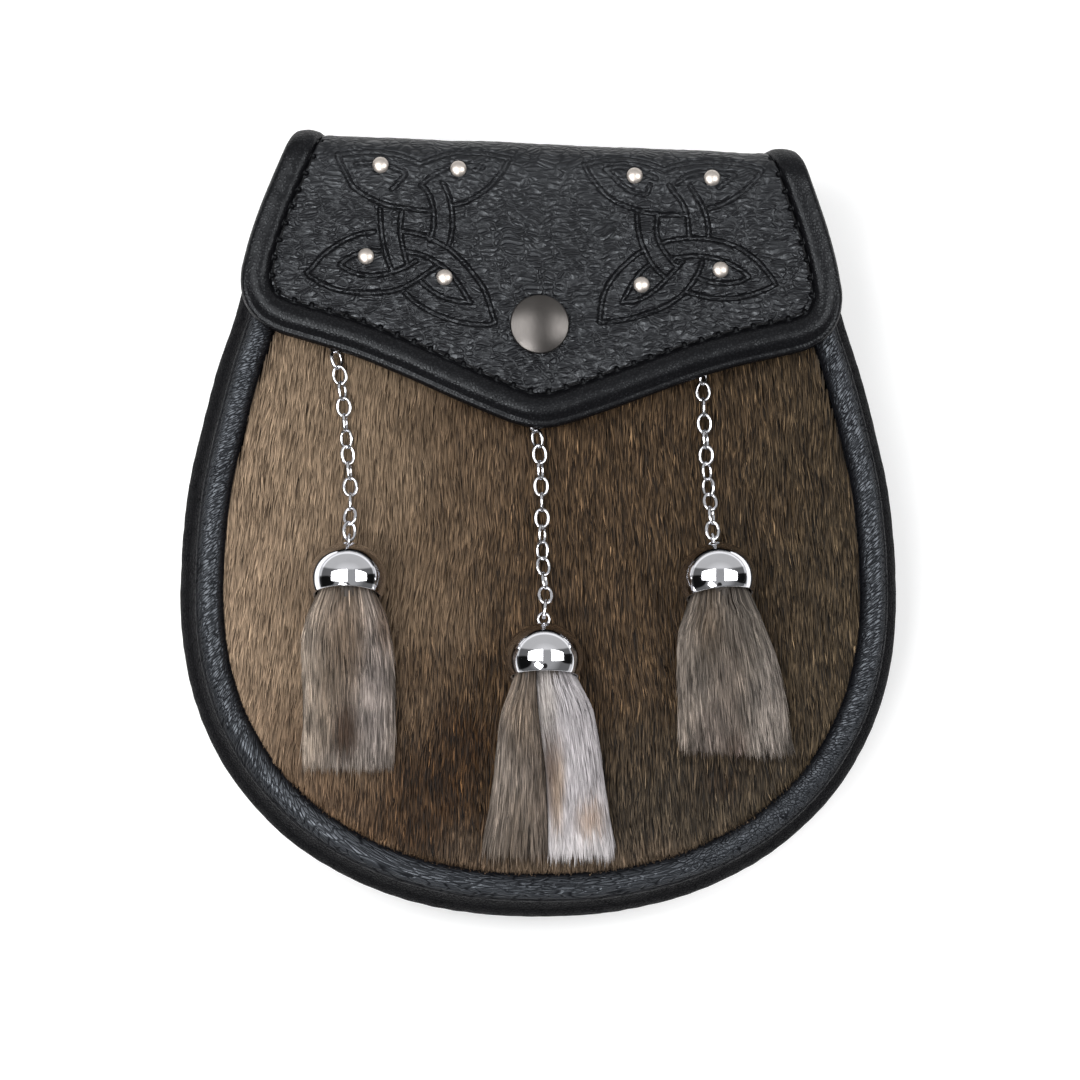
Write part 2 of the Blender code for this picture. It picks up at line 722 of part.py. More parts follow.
def eye_hole(hanging):
    return bell_frame(hanging) @ Vector((0.0, 0.0, EYE_HEIGHT + LINK_IN_EYE))


def chain_point(hanging, y):
    """The chain's axis at a height up the body: it climbs to the bell's eye and sinks under the flap."""
    start = eye_hole(hanging)
    x = smooth([(start.y, start.x), *hanging["way"]], y)
    far, near = CHAIN_LOW_RUN
    sunk = min(max((y - hanging["covered_from"] + far) / (far - near), 0.0), 1.0)
    rest = fur_surface(x, y) + CHAIN_LIFT + (CHAIN_LOW_LIFT - CHAIN_LIFT) * sunk
    share = min(max((y - start.y) / CHAIN_RISE, 0.0), 1.0)
    return Vector((x, y, start.z + (rest - start.z) * share * share * (3 - 2 * share)))


def march(hanging, start, reach):
    """The next point of the chain's axis that lies at this distance from start."""
    low, high = start.y, start.y + reach + 0.1
    for _ in range(40):
        middle = (low + high) / 2
        if (chain_point(hanging, middle) - start).length < reach:
            low = middle
        else:
            high = middle
    return chain_point(hanging, high)


def link_places(hanging):
    """Each link's centre and direction, from the eye up, as matrices with the link's length along Y."""
    nodes = [march(hanging, eye_hole(hanging), LINK_LENGTH / 2 - LINK_WIRE - LINK_PITCH / 2)]
    for _ in hanging["rolls"]:
        nodes.append(march(hanging, nodes[-1], LINK_PITCH))
    places = []
    for a, b, roll in zip(nodes, nodes[1:], hanging["rolls"]):
        along = (b - a).normalized()
        across = along.cross(Vector((0.0, 0.0, 1.0))).normalized()
        frame = Matrix((across, along, across.cross(along))).transposed().to_4x4()
        roll_turn = Matrix.Rotation(radians(roll), 4, "Y")
        places.append(Matrix.Translation((a + b) / 2) @ frame @ roll_turn)
    return places


def make_chain(side, hanging):
    """A cable chain: every link passes through its neighbours, and they are fused where they touch."""
    places = link_places(hanging)
    half_length, half_width = LINK_LENGTH / 2 - LINK_WIRE, LINK_WIDTH / 2 - LINK_WIRE
    halves = []
    for first in (0, 1):
        bm = bmesh.new()
        for place in places[first::2]:
            oval_ring(bm, half_length, half_width, LINK_WIRE, LINK_SIDES, place)
        halves.append(bm)
    return union("chain_" + side, halves, "chrome", 60)


def make_anchor(side, hanging):
    """A wire staple over the end of the last link, its legs down to the fur panel."""
    last = link_places(hanging)[-1]
    top = last @ Vector((0.0, LINK_LENGTH / 2 - LINK_WIRE, 0.0))
    low = fur_surface(top.x, top.y) + GAP
    points = [(-STAPLE_RADIUS, low)]
    for k in range(STAPLE_ARC_STEPS + 1):
        a = pi * (1 - k / STAPLE_ARC_STEPS)
        points.append((STAPLE_RADIUS * cos(a), top.z + STAPLE_RADIUS * sin(a)))
    points.append((STAPLE_RADIUS, low))
    along = (last.to_3x3() @ Vector((0.0, 1.0, 0.0))).normalized()
    bm = bmesh.new()
    rings = []
    for k, (reach, z) in enumerate(points):
        before, after = points[max(k - 1, 0)], points[min(k + 1, len(points) - 1)]
        run = Vector((along.x, along.y, 0.0)).normalized()
        heading = (run * (after[0] - before[0]) + Vector((0, 0, after[1] - before[1]))).normalized()
        side_way = Vector((-run.y, run.x, 0.0))
        out = heading.cross(side_way)
        centre = Vector((top.x, top.y, z)) + run * reach
        ring = []
        for j in range(STAPLE_SIDES):
            b = 2 * pi * j / STAPLE_SIDES
            ring.append(centre + STAPLE_WIRE * (cos(b) * side_way + sin(b) * out))
        rings.append(ring)
    loft(bm, rings)
    return place_in_scene("chain_anchor_" + side, bm, "plain_steel", smooth_angle=50)


def make_lock(bm, frame, lock):
    """One lock of a tassel: a flattened, tapering bundle from inside the bell to its tip."""
    across_0, up_0, across_1, across_2, length, up_2 = lock
    up_1 = LOW_LOCK_SPREAD if up_0 < 0 else HIGH_LOCK_SPREAD
    sections = [(across_0, down, up_0, wide, thick) for down, wide, thick in LOCK_IN_BELL]
    spread, wide, thick = LOCK_SPREAD
    sections.append((across_1, spread, up_1, wide, thick))
    for share, wide, thick in LOCK_TAIL:
        across = across_1 + (across_2 - across_1) * share
        up = up_1 + (up_2 - up_1) * share
        sections.append((across, spread + (length - spread) * share, up, wide, thick))
    rings = []
    for across, down, up, wide, thick in sections:
        angles = [2 * pi * k / LOCK_SIDES for k in range(LOCK_SIDES)]
        ring = [Vector((across + wide * cos(a), -down, up + thick * sin(a))) for a in angles]
        rings.append([frame @ p for p in ring])
    loft(bm, rings)


def tassel_frame(hanging):
    """Level frame at the bell's mouth: X across, -Y down the tassel, Z up."""
    place = bell_frame(hanging).translation
    return Matrix.Translation(place) @ Matrix.Rotation(radians(hanging["turn"]), 4, "Z")


def make_tassel(side, hanging):
    low, high = HEAD_HEIGHTS
    head = rod(HEAD_RADIUS, high - low, HEAD_SIDES)
    head.transform(bell_frame(hanging) @ Matrix.Translation((0.0, 0.0, (low + high) / 2)))
    parts = [head]
    for lock in TASSELS[side]:
        bm = bmesh.new()
        make_lock(bm, tassel_frame(hanging), lock)
        parts.append(bm)
    return union("tassel_" + side, parts, "grey_fur", 50)


def make_belt_loop(name, x):
    """A strap that stands off the back between two sewn tabs."""
    low, high = LOOP_ENDS_Y
    top = BACK_LOW_Z - GAP
    outer = [
        (low, top - LOOP_THICK),
        (low + LOOP_TAB, top - LOOP_THICK),
        (low + LOOP_TAB + LOOP_RISE, 0.0),
        (high - LOOP_TAB - LOOP_RISE, 0.0),
        (high - LOOP_TAB, top - LOOP_THICK),
        (high, top - LOOP_THICK),
    ]
    inner = [
        (high, top),
        (high - LOOP_TAB, top),
        (high - LOOP_TAB - LOOP_RISE, LOOP_THICK),
        (low + LOOP_TAB + LOOP_RISE, LOOP_THICK),
        (low + LOOP_TAB, top),
        (low, top),
    ]
    bm = bmesh.new()
    loft(bm, [[(x + side * LOOP_HALF_WIDTH, y, z) for y, z in outer + inner] for side in (-1, 1)])
    return place_in_scene(name, bm, "black_leather")


def main():
    for old in list(bpy.data.objects):
        bpy.data.objects.remove(old, do_unlink=True)
    make_back_panel()
    make_gusset()
    make_fur_panel()
    make_welt("front_welt", **FRONT_WELT)
    make_welt("rear_welt", **REAR_WELT)
    make_flap()
    make_binding()
    make_snap()
    make_studs()
    for side, hanging in HANGINGS.items():
        make_anchor(side, hanging)
        make_chain(side, hanging)
        make_bell(side, hanging)
        make_tassel(side, hanging)
    make_belt_loop("belt_loop_left", -LOOP_X)
    make_belt_loop("belt_loop_right", LOOP_X)


main()
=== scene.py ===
from math import cos, pi, radians, sin

import bmesh
import bpy
import numpy as np
from mathutils import Matrix, Vector


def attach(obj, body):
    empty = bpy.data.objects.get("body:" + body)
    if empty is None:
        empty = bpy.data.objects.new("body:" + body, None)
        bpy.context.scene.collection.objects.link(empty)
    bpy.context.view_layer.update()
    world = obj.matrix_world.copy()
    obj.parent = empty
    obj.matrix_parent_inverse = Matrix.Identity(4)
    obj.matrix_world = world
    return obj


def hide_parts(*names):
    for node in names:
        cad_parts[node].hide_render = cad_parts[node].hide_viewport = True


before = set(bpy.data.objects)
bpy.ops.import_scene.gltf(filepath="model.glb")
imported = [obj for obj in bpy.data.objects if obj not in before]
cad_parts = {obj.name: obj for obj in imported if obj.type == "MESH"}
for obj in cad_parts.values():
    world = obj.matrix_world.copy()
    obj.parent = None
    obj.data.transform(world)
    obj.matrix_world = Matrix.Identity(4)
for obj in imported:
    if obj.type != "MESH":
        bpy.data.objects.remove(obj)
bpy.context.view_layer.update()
scene = bpy.context.scene
# the pouch lies on its back: X runs across it, Y from its bowl up to its mouth, Z from its back to its front
mm = 0.001  # everything below is drawn in millimetres and scaled once, in makePiece or placeMesh
clearance = 0.3  # kept between pieces

print("sporran: helpers")


def smoothRow(rows, at):  # values on a smooth curve through (position, value) rows
    places = np.array([row[0] for row in rows], float)
    values = np.array([row[1] for row in rows], float)
    at = np.clip(np.asarray(at, float), places[0], places[-1])
    slopes = np.empty_like(values)
    slopes[1:-1] = (values[2:] - values[:-2]) / (places[2:] - places[:-2])
    slopes[0] = (values[1] - values[0]) / (places[1] - places[0])
    slopes[-1] = (values[-1] - values[-2]) / (places[-1] - places[-2])
    i = np.clip(np.searchsorted(places, at) - 1, 0, len(places) - 2)
    step = places[i + 1] - places[i]
    t = (at - places[i]) / step
    rise = (values[i + 1] - values[i]) * t * t * (3 - 2 * t)
    return values[i] + rise + step * (slopes[i] * t * (1 - t) ** 2 - slopes[i + 1] * t * t * (1 - t))


def ripple(points, size, seed, waves=9):  # soft noise of about -1 to 1, with bumps of this size
    draw = np.random.default_rng(seed)
    ways = draw.normal(size=(waves, points.shape[-1]))
    ways *= (2 * pi / size * draw.uniform(0.6, 1.5, waves) / np.linalg.norm(ways, axis=1))[:, None]
    total = np.zeros(points.shape[:-1])
    for way, phase in zip(ways, draw.uniform(0, 2 * pi, waves)):
        total += np.sin(points @ way + phase)
    return total / np.sqrt(waves)


def makePiece(name, points, faces, material):  # faces: arrays of corner numbers, one per face size
    points = np.asarray(points).reshape(-1, 3)
    mesh = bpy.data.meshes.new(name)
    corners = np.concatenate([rows.ravel() for rows in faces]).astype(np.int32)
    sizes = np.concatenate([np.full(len(rows), rows.shape[1]) for rows in faces])
    starts = np.concatenate([[0], np.cumsum(sizes)[:-1]]).astype(np.int32)
    mesh.vertices.add(len(points))
    mesh.vertices.foreach_set("co", (points * mm).astype(np.float32).ravel())
    mesh.loops.add(len(corners))
    mesh.loops.foreach_set("vertex_index", corners)
    mesh.polygons.add(len(sizes))
    mesh.polygons.foreach_set("loop_start", starts)
    mesh.update(calc_edges=True)
    mesh.shade_smooth()
    mesh.materials.append(material)
    piece = bpy.data.objects.new(name, mesh)
    scene.collection.objects.link(piece)
    return piece


def turnOut(piece):  # faces of a closed piece made to point outwards
    bm = bmesh.new()
    bm.from_mesh(piece.data)
    bmesh.ops.recalc_face_normals(bm, faces=bm.faces)
    bm.to_mesh(piece.data)
    bm.free()


def settle(piece, slotName, *nodes):  # it moves with the pouch and stands for these CAD nodes
    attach(piece, "root")
    if nodes:
        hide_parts(*nodes)


def solidPiece(name, points, faces, material, slotName, *nodes):  # a closed piece, ready in its place
    piece = makePiece(name, points, faces, material)
    turnOut(piece)
    settle(piece, slotName, *nodes)
    return piece


def giveMark(piece, name, kind, values):  # values at the piece's corners, which its material reads
    key = {"FLOAT": "value", "FLOAT_VECTOR": "vector", "FLOAT_COLOR": "color"}[kind]
    layer = piece.data.attributes.new(name, kind, "POINT")
    layer.data.foreach_set(key, values.astype(np.float32).ravel())


def sweepFaces(stations, sides):  # rings of equal count, skinned in a row and capped
    ring = np.arange(sides)
    low = (np.arange(stations - 1)[:, None] * sides + ring).ravel()
    high = (np.arange(stations - 1)[:, None] * sides + (ring + 1) % sides).ravel()
    return [np.stack([low, high, high + sides, low + sides], 1),
            np.stack([ring[::-1], ring + (stations - 1) * sides])]


def unit(vectors):
    return vectors / np.linalg.norm(vectors, axis=-1, keepdims=True)


def linear(colour):  # a screen colour, 0 to 255, as light
    c = np.asarray(colour, float) / 255
    return np.where(c <= 0.04045, c / 12.92, ((c + 0.055) / 1.055) ** 2.4)


def selectNothing():
    bpy.ops.object.select_all(action="DESELECT")
    bpy.context.view_layer.objects.active = None


def placeMesh(piece, place):  # modelled at the origin, then set in its place within the mesh
    piece.data.transform(piece.matrix_world)
    piece.matrix_world = Matrix.Identity(4)
    piece.data.transform(Matrix.Scale(mm, 4) @ place)


# Materials

print("sporran: materials")


def addNode(tree, kind, inputs=None, **settings):
    node = tree.nodes.new(kind)
    for key, value in settings.items():
        setattr(node, key, value)
    for key, value in (inputs or {}).items():
        if isinstance(value, bpy.types.NodeSocket):
            tree.links.new(value, node.inputs[key])
        else:
            node.inputs[key].default_value = value
    return node


def newFinish(name, **sockets):
    material = bpy.data.materials.new(name)
    material.use_nodes = True
    shader = material.node_tree.nodes["Principled BSDF"]
    for key, value in sockets.items():
        shader.inputs[key.replace("_", " ")].default_value = value
    return material, material.node_tree, shader


def feed(tree, shader, **outputs):  # node outputs joined to the shader's sockets
    for key, output in outputs.items():
        tree.links.new(output, shader.inputs[key.replace("_", " ")])


def calc(tree, operation, *values):
    return addNode(tree, "ShaderNodeMath", dict(enumerate(values)), operation=operation).outputs[0]


def calcVectors(tree, operation, first, second, output="Vector"):
    node = addNode(tree, "ShaderNodeVectorMath", {0: first, 1: second}, operation=operation)
    return node.outputs[output]


def stretched(tree, spot, scale):
    return addNode(tree, "ShaderNodeMapping", {"Vector": spot, "Scale": scale}).outputs[0]


def noise(tree, spot, scale, detail, output="Fac"):
    node = addNode(tree, "ShaderNodeTexNoise", {"Vector": spot, "Scale": scale, "Detail": detail})
    return node.outputs[output]


def objectSpot(tree):
    return addNode(tree, "ShaderNodeTexCoord").outputs["Object"]


def markOf(tree, name, output="Fac"):
    return addNode(tree, "ShaderNodeAttribute", attribute_name=name).outputs[output]


def toneRamp(tree, factor, low, high, dark, light):  # two tones, from low to high of the factor
    ramp = addNode(tree, "ShaderNodeValToRGB", {"Fac": factor})
    for stop, place, tone in zip(ramp.color_ramp.elements, (low, high), (dark, light)):
        stop.position = place
        stop.color = (*tone, 1.0)
    return ramp.outputs["Color"]


def spread(tree, value, low, high, toLow, toHigh, way="LINEAR"):
    ends = {"From Min": low, "From Max": high, "To Min": toLow, "To Max": toHigh}
    node = addNode(tree, "ShaderNodeMapRange", {"Value": value, **ends}, interpolation_type=way)
    return node.outputs["Result"]


def bumpOf(tree, height, distance):  # distance in mm
    return addNode(tree, "ShaderNodeBump", {"Height": height, "Distance": distance * mm}).outputs["Normal"]


leatherLooks = {
    # pebble: size of one grain in mm along X, Y and Z, or along and round a roll; wander: how far the grain
    # drifts, in grains; shine: gloss in the creases and on the domes, lower in the creases as painted shade;
    # edge: share of the gloss left where the surface turns away, a painted shade at the edges, and how far it
    # has to turn for the fading to start and end; tint: the gloss's colour; tone: colour in the creases and
    # on the domes, darker in the creases as painted shade
    "flap": {
        "pebble": (3.2, 1.3, 1.6), "wander": 2.4, "dome": 0.36, "depth": 0.42, "fine": 0.8, "folds": 0.6,
        "shine": (0.15, 0.62), "rough": (0.32, 0.46), "edge": (0.3, 0.3, 0.85), "tint": (0.9, 0.95, 1.0),
        "tone": ((0.002, 0.002, 0.0025), (0.008, 0.008, 0.0095)),
    },
    "binding": {
        "pebble": (0.9, 0.9, 0.9), "wander": 1.5, "dome": 0.4, "depth": 0.035, "fine": 0.2, "folds": 0.6,
        "shine": (0.14, 0.27), "rough": (0.27, 0.36), "edge": (0.1, 0.3, 0.8), "tint": (0.92, 0.96, 1.0),
        "tone": ((0.002, 0.002, 0.0025), (0.005, 0.005, 0.006)),
    },
    "welt": {
        "pebble": (0.75, 2.2, 1.0), "wander": 1.5, "dome": 0.2, "depth": 0.12, "fine": 0.15, "folds": 0.7,
        "shine": (0.08, 0.85), "rough": (0.35, 0.46), "edge": (0.02, 0.12, 0.5), "tint": (0.84, 0.91, 1.0),
        "tone": ((0.0015, 0.0015, 0.002), (0.007, 0.0075, 0.0095)),
    },
    "body": {
        "pebble": (0.8, 0.8, 2.8), "wander": 1.5, "dome": 0.22, "depth": 0.12, "fine": 0.15, "folds": 1.0,
        "shine": (0.03, 0.26), "rough": (0.42, 0.56), "edge": (0.02, 0.2, 0.6), "tint": (0.92, 0.96, 1.0),
        "tone": ((0.0015, 0.0015, 0.002), (0.005, 0.005, 0.006)),
    },
    "thread": {
        "pebble": (0.25, 0.25, 0.25), "wander": 1.0, "dome": 0.4, "depth": 0.03, "fine": 0.2, "folds": 0.2,
        "shine": (0.1, 0.35), "rough": (0.5, 0.7), "edge": (0.3, 0.3, 0.85), "tint": (1.0, 1.0, 1.0),
        "tone": ((0.003, 0.003, 0.0035), (0.008, 0.008, 0.009)),
    },
}
# A groove lies at this distance in mm on each side of a tooled line; reach and dark give the width and
# strength of the shade painted into it, faint where the leather is pulled smooth
tooling = {"at": 0.55, "reach": 0.28, "dark": 0.7, "faint": 0.55, "pressedFace": 0.55}


def leatherFinish(name, look, ownSpot=""):
    # the flap's marks: pressed, 0 to 1, flattens the grain; toolGap, the distance to a tooled line in mm, and
    # the seam's mark, 0 to 1, set the shade painted into the grooves, the stitch holes and the seam's crease.
    # ownSpot: a mark with places along and round a roll, in metres
    material, tree, shader = newFinish(name, Specular_Tint=(*look["tint"], 1.0))
    spot = markOf(tree, ownSpot, "Vector") if ownSpot else objectSpot(tree)
    drift = noise(tree, stretched(tree, spot, (1 / mm,) * 3), 0.17, 1.0, "Color")
    cells = stretched(tree, spot, tuple(1 / (size * mm) for size in look["pebble"]))
    bent = calcVectors(tree, "ADD", cells, calcVectors(tree, "MULTIPLY", drift, (look["wander"],) * 3))
    crack = addNode(tree, "ShaderNodeTexVoronoi", {"Vector": bent, "Scale": 1.0}, feature="DISTANCE_TO_EDGE")
    pebble = spread(tree, crack.outputs["Distance"], 0.0, look["dome"], 0.0, 1.0, "SMOOTHSTEP")
    small, fold = noise(tree, bent, 1.6, 3.0), noise(tree, bent, 0.33, 2.0)
    pressed = markOf(tree, "pressed")
    # painted shade in the tooled grooves, fainter where the leather is pressed smooth, and along the seam's
    # stitch holes and crease
    away = calc(tree, "ABSOLUTE", calc(tree, "SUBTRACT", markOf(tree, "toolGap"), tooling["at"]))
    line = spread(tree, away, 0.0, tooling["reach"], tooling["dark"], 0.0, "SMOOTHSTEP")
    grooveShade = calc(tree, "MULTIPLY", line, spread(tree, pressed, 0.0, 0.6, 1.0, 1 - tooling["faint"]))
    seamShade = spread(tree, markOf(tree, "paintedSeamShade"), 0.4, 0.75, 0.0, 1.0, "SMOOTHSTEP")
    clear = calc(tree, "SUBTRACT", 1.0, calc(tree, "MAXIMUM", grooveShade, seamShade))
    kept = calc(tree, "SUBTRACT", 1.0, pressed)
    height = calc(tree, "ADD", pebble, calc(tree, "MULTIPLY", small, look["fine"]))
    height = calc(tree, "ADD", height, calc(tree, "MULTIPLY", fold, look["folds"]))
    face = addNode(tree, "ShaderNodeMix", {0: kept, 2: tooling["pressedFace"], 3: height}, data_type="FLOAT")
    face = calc(tree, "MULTIPLY", face.outputs[0], clear)
    # painted shade at the edges: the gloss fades where the surface turns away from the view
    left, start, end = look["edge"]
    turned = addNode(tree, "ShaderNodeLayerWeight", {"Blend": 0.5}).outputs["Facing"]
    fade = spread(tree, turned, start, end, 1.0, left, "SMOOTHSTEP")
    # painted shade: a low face, in the grain's creases, the grooves and along the seam, gives a darker colour
    # and less gloss
    low, high = look["shine"]
    gloss = calc(tree, "MULTIPLY", spread(tree, face, 0.25, 1.25, low, high), fade)
    smooth, dull = look["rough"]
    feed(tree, shader, Normal=bumpOf(tree, face, look["depth"]), Specular_IOR_Level=gloss,
         Base_Color=toneRamp(tree, face, 0.1, 1.0, *look["tone"]),
         Roughness=spread(tree, face, 0.1, 1.2, dull, smooth))
    return material


flapLeather = leatherFinish("blackFlapLeather", leatherLooks["flap"])
bindingLeather = leatherFinish("blackBindingLeather", leatherLooks["binding"])
weltLeather = leatherFinish("blackWeltLeather", leatherLooks["welt"], "rollSpot")
bodyLeather = leatherFinish("blackBodyLeather", leatherLooks["body"])
threadFinish = leatherFinish("blackThread", leatherLooks["thread"])


def hairFinish(name, roughness, shine):
    material, tree, shader = newFinish(name, Specular_IOR_Level=shine)
    grain = noise(tree, stretched(tree, objectSpot(tree), (2400.0, 160.0, 900.0)), 1.0, 2.0)
    shade = toneRamp(tree, grain, 0.3, 0.7, (0.84, 0.84, 0.84), (1.14, 1.14, 1.14))
    mixed = addNode(tree, "ShaderNodeMix", {0: 1.0, 6: markOf(tree, "hairTint", "Color"), 7: shade},
                    data_type="RGBA", blend_type="MULTIPLY")
    feed(tree, shader, Base_Color=mixed.outputs[2],
         Roughness=spread(tree, grain, 0.3, 0.7, roughness - 0.08, roughness + 0.08))
    return material


frontHair = hairFinish("brownHair", 0.55, 0.14)
tasselHair = hairFinish("greyHair", 0.55, 0.2)


def hideFinish(name, dark, light):
    material, tree, shader = newFinish(name, Specular_IOR_Level=0.2)
    grain = noise(tree, stretched(tree, objectSpot(tree), (1600.0, 130.0, 700.0)), 1.0, 3.0)
    feed(tree, shader, Base_Color=toneRamp(tree, grain, 0.35, 0.7, dark, light),
         Roughness=spread(tree, grain, 0.3, 0.7, 0.65, 0.85), Normal=bumpOf(tree, grain, 0.2))
    return material


hideBrown = hideFinish("brownHide", (0.016, 0.011, 0.008), (0.05, 0.037, 0.027))
coreGrey = hideFinish("greyCore", (0.045, 0.038, 0.033), (0.11, 0.097, 0.087))


def metalFinish(name, colour, roughness, grain, scratches, dirt):
    # scratches: streaks per mm along X, Y and Z; dirt darkens the hollows of the noise
    material, tree, shader = newFinish(name, Metallic=1.0)
    spot = objectSpot(tree)
    fine = noise(tree, stretched(tree, spot, tuple(streaks / mm for streaks in scratches)), 1.0, 3.0)
    cloud = noise(tree, spot, 220.0, 2.0)
    worn = tuple(part * dirt for part in colour)
    feed(tree, shader, Base_Color=toneRamp(tree, cloud, 0.3, 0.6, worn, colour),
         Roughness=spread(tree, fine, 0.3, 0.7, roughness, roughness + grain),
         Normal=bumpOf(tree, fine, grain * 0.05))
    return material


bellChrome = metalFinish("bellChrome", (0.80, 0.80, 0.83), 0.035, 0.04, (0.5, 0.5, 0.5), 0.95)
chainChrome = metalFinish("chainChrome", (0.74, 0.74, 0.77), 0.1, 0.08, (1.0, 1.0, 1.0), 0.85)
studSilver = metalFinish("studSilver", (0.64, 0.58, 0.53), 0.36, 0.1, (1.5, 1.5, 1.5), 0.9)
capGunmetal = metalFinish("capGunmetal", (0.086, 0.08, 0.076), 0.28, 0.1, (6.0, 0.35, 6.0), 0.9)
plainSteel = metalFinish("plainSteel", (0.42, 0.42, 0.42), 0.35, 0.15, (1.0, 1.0, 1.0), 0.85)

# Body

print("sporran: body")

body = {
    "halfWidth": 97.0,
    "bowlY": -18.2,
    "bowlDepth": 87.4,
    "bowlPower": 2.2,
    "side": [(-18.2, 97.0), (-4.9, 96.5), (11.0, 94.7), (27.0, 91.2), (43.0, 87.0), (55.0, 83.1),
             (72.0, 78.4), (94.0, 73.0)],  # (along, half width)
    "stations": 420,
}


def bodyPath(count):  # down the left side, round the bowl and up the right: points, normals, distances
    topY = body["side"][-1][0]
    sideY = np.linspace(topY, body["bowlY"], 80)[:-1]
    angle = np.linspace(0, pi / 2, 200)
    power = 2 / body["bowlPower"]
    bowlX = body["halfWidth"] * np.clip(np.cos(angle), 0, 1) ** power
    halfX = np.concatenate([smoothRow(body["side"], sideY), bowlX])
    halfY = np.concatenate([sideY, body["bowlY"] - body["bowlDepth"] * np.sin(angle) ** power])
    x = np.concatenate([-halfX, halfX[-2::-1]])
    y = np.concatenate([halfY, halfY[-2::-1]])
    lengths = np.concatenate([[0], np.cumsum(np.hypot(np.diff(x), np.diff(y)))])

    def spotAt(distance):
        distance = np.clip(distance, 0, lengths[-1])
        return np.stack([np.interp(distance, lengths, x), np.interp(distance, lengths, y)], 1)

    at = np.linspace(0, lengths[-1], count + 1)
    run = spotAt(at + 3) - spotAt(at - 3)
    return spotAt(at), unit(np.stack([run[:, 1], -run[:, 0]], 1)), at


gusset = {"wall": 1.6, "edgeInset": 6.0, "lowZ": 6.6, "highZ": 36.8, "outerRows": 15, "innerRows": 6,
          "wrinkle": 0.07, "fineFold": 5.0, "broadFold": 22.0}


def makeGusset():
    spots, normals, at = bodyPath(body["stations"])
    outer = np.linspace(0, 1, gusset["outerRows"])
    inner = np.linspace(1, 0, gusset["innerRows"])
    share = np.concatenate([outer, inner])
    isOuter = np.arange(len(share)) < len(outer)
    inset = gusset["edgeInset"] * (2 * share - 1) ** 2 + np.where(isOuter, 0.0, gusset["wall"])
    z = gusset["lowZ"] + (gusset["highZ"] - gusset["lowZ"]) * share
    flat = np.stack(np.broadcast_arrays(at[:, None], z[None, :]), -1)
    folds = ripple(flat * (1.0, 0.22), gusset["fineFold"], 11) * 0.6
    folds += ripple(flat, gusset["broadFold"], 12) * 0.9
    swell = gusset["wrinkle"] * (1 - (2 * share - 1) ** 4) * isOuter
    moved = inset[None, :] + folds * swell[None, :]
    flatSpots = spots[:, None, :] - normals[:, None, :] * moved[..., None]
    points = np.concatenate([flatSpots, np.broadcast_to(z[None, :, None], (*moved.shape, 1))], -1)
    faces = sweepFaces(len(at), len(share))
    solidPiece("gussetLeather", points, faces, bodyLeather, "black_leather", "gusset")


welts = {
    "frontWeltRoll": {"node": "front_welt", "radius": 3.8, "inset": 8.6, "centreZ": 40.2, "seed": 21},
    "rearWeltRoll": {"node": "rear_welt", "radius": 3.6, "inset": 8.0, "centreZ": 3.33, "seed": 22},
}
weltLook = {
    "sides": 22,
    "endBack": 3.2,  # how far a roll stops short of the gusset's end
    "endRound": [(2.2, 0.12), (2.0, 0.5), (1.4, 0.8), (0.7, 0.95)],  # (past the end, share of the radius)
    "swell": (0.008, 17.0),  # share of the radius and size of its long swells, then of the short ones
    "dents": (0.006, 5.0),
    "slant": 0.8,  # how far the wrinkles lean along the roll
    "bowl": (-58.0, -92.0),  # between these heights they turn along the roll
    "bowlStretch": (0.84, 2.1),  # and grow longer along it and narrower round it
    "lowest": 0.02,  # the rear one rests on the floor
}


def makeWelt(name, welt):
    spots, normals, at = bodyPath(body["stations"])
    keep = (at >= weltLook["endBack"]) & (at <= at[-1] - weltLook["endBack"])
    spots, normals, at = spots[keep] - normals[keep] * welt["inset"], normals[keep], at[keep]
    away = unit(spots[0] - spots[1]), unit(spots[-1] - spots[-2])
    steps, sizes = np.array(weltLook["endRound"]).T
    size = np.concatenate([sizes, np.ones(len(at)), sizes[::-1]])[:, None]
    spots = np.concatenate([spots[0] + steps[:, None] * away[0], spots,
                            spots[-1] + steps[::-1, None] * away[1]])
    normals = np.concatenate([np.repeat(normals[:1], len(steps), 0), normals,
                              np.repeat(normals[-1:], len(steps), 0)])
    at = np.concatenate([at[0] - steps, at, at[-1] + steps[::-1]])
    angle = 2 * pi * np.arange(weltLook["sides"]) / weltLook["sides"]
    flat = np.stack(np.broadcast_arrays(at[:, None] + 3.0 * np.cos(angle), 4.0 * angle[None, :],
                                        2.0 * np.sin(angle)[None, :]), -1)
    (swell, swellSize), (dent, dentSize) = weltLook["swell"], weltLook["dents"]
    radius = welt["radius"] * (1 + swell * ripple(flat, swellSize, welt["seed"])
                               + dent * ripple(flat * (1.6, 0.6, 0.6), dentSize, welt["seed"] + 50)) * size
    across = spots[:, None, :] + normals[:, None, :] * (radius * np.cos(angle))[..., None]
    z = np.maximum(welt["centreZ"] + radius * np.sin(angle), weltLook["lowest"])
    points = np.concatenate([across, z[..., None]], -1)
    faces = sweepFaces(len(at), len(angle))
    piece = solidPiece(name, points, faces, weltLeather, "black_leather", welt["node"])
    aroundRoll = ((angle + pi / 2) % (2 * pi)) * welt["radius"]  # its seam lies below, in the joint
    high, bottom = weltLook["bowl"]
    low = np.clip((high - spots[:, 1]) / (high - bottom), 0, 1)[:, None]
    longer, narrower = weltLook["bowlStretch"]
    slanted = weltLook["slant"] * (1 - low) * aroundRoll
    along = np.cumsum(np.gradient(at)[:, None] * (1 - longer * low), 0) + slanted
    rollSpot = np.stack(np.broadcast_arrays(along, aroundRoll * (1 + narrower * low), 0.0), -1)
    giveMark(piece, "rollSpot", "FLOAT_VECTOR", rollSpot * mm)


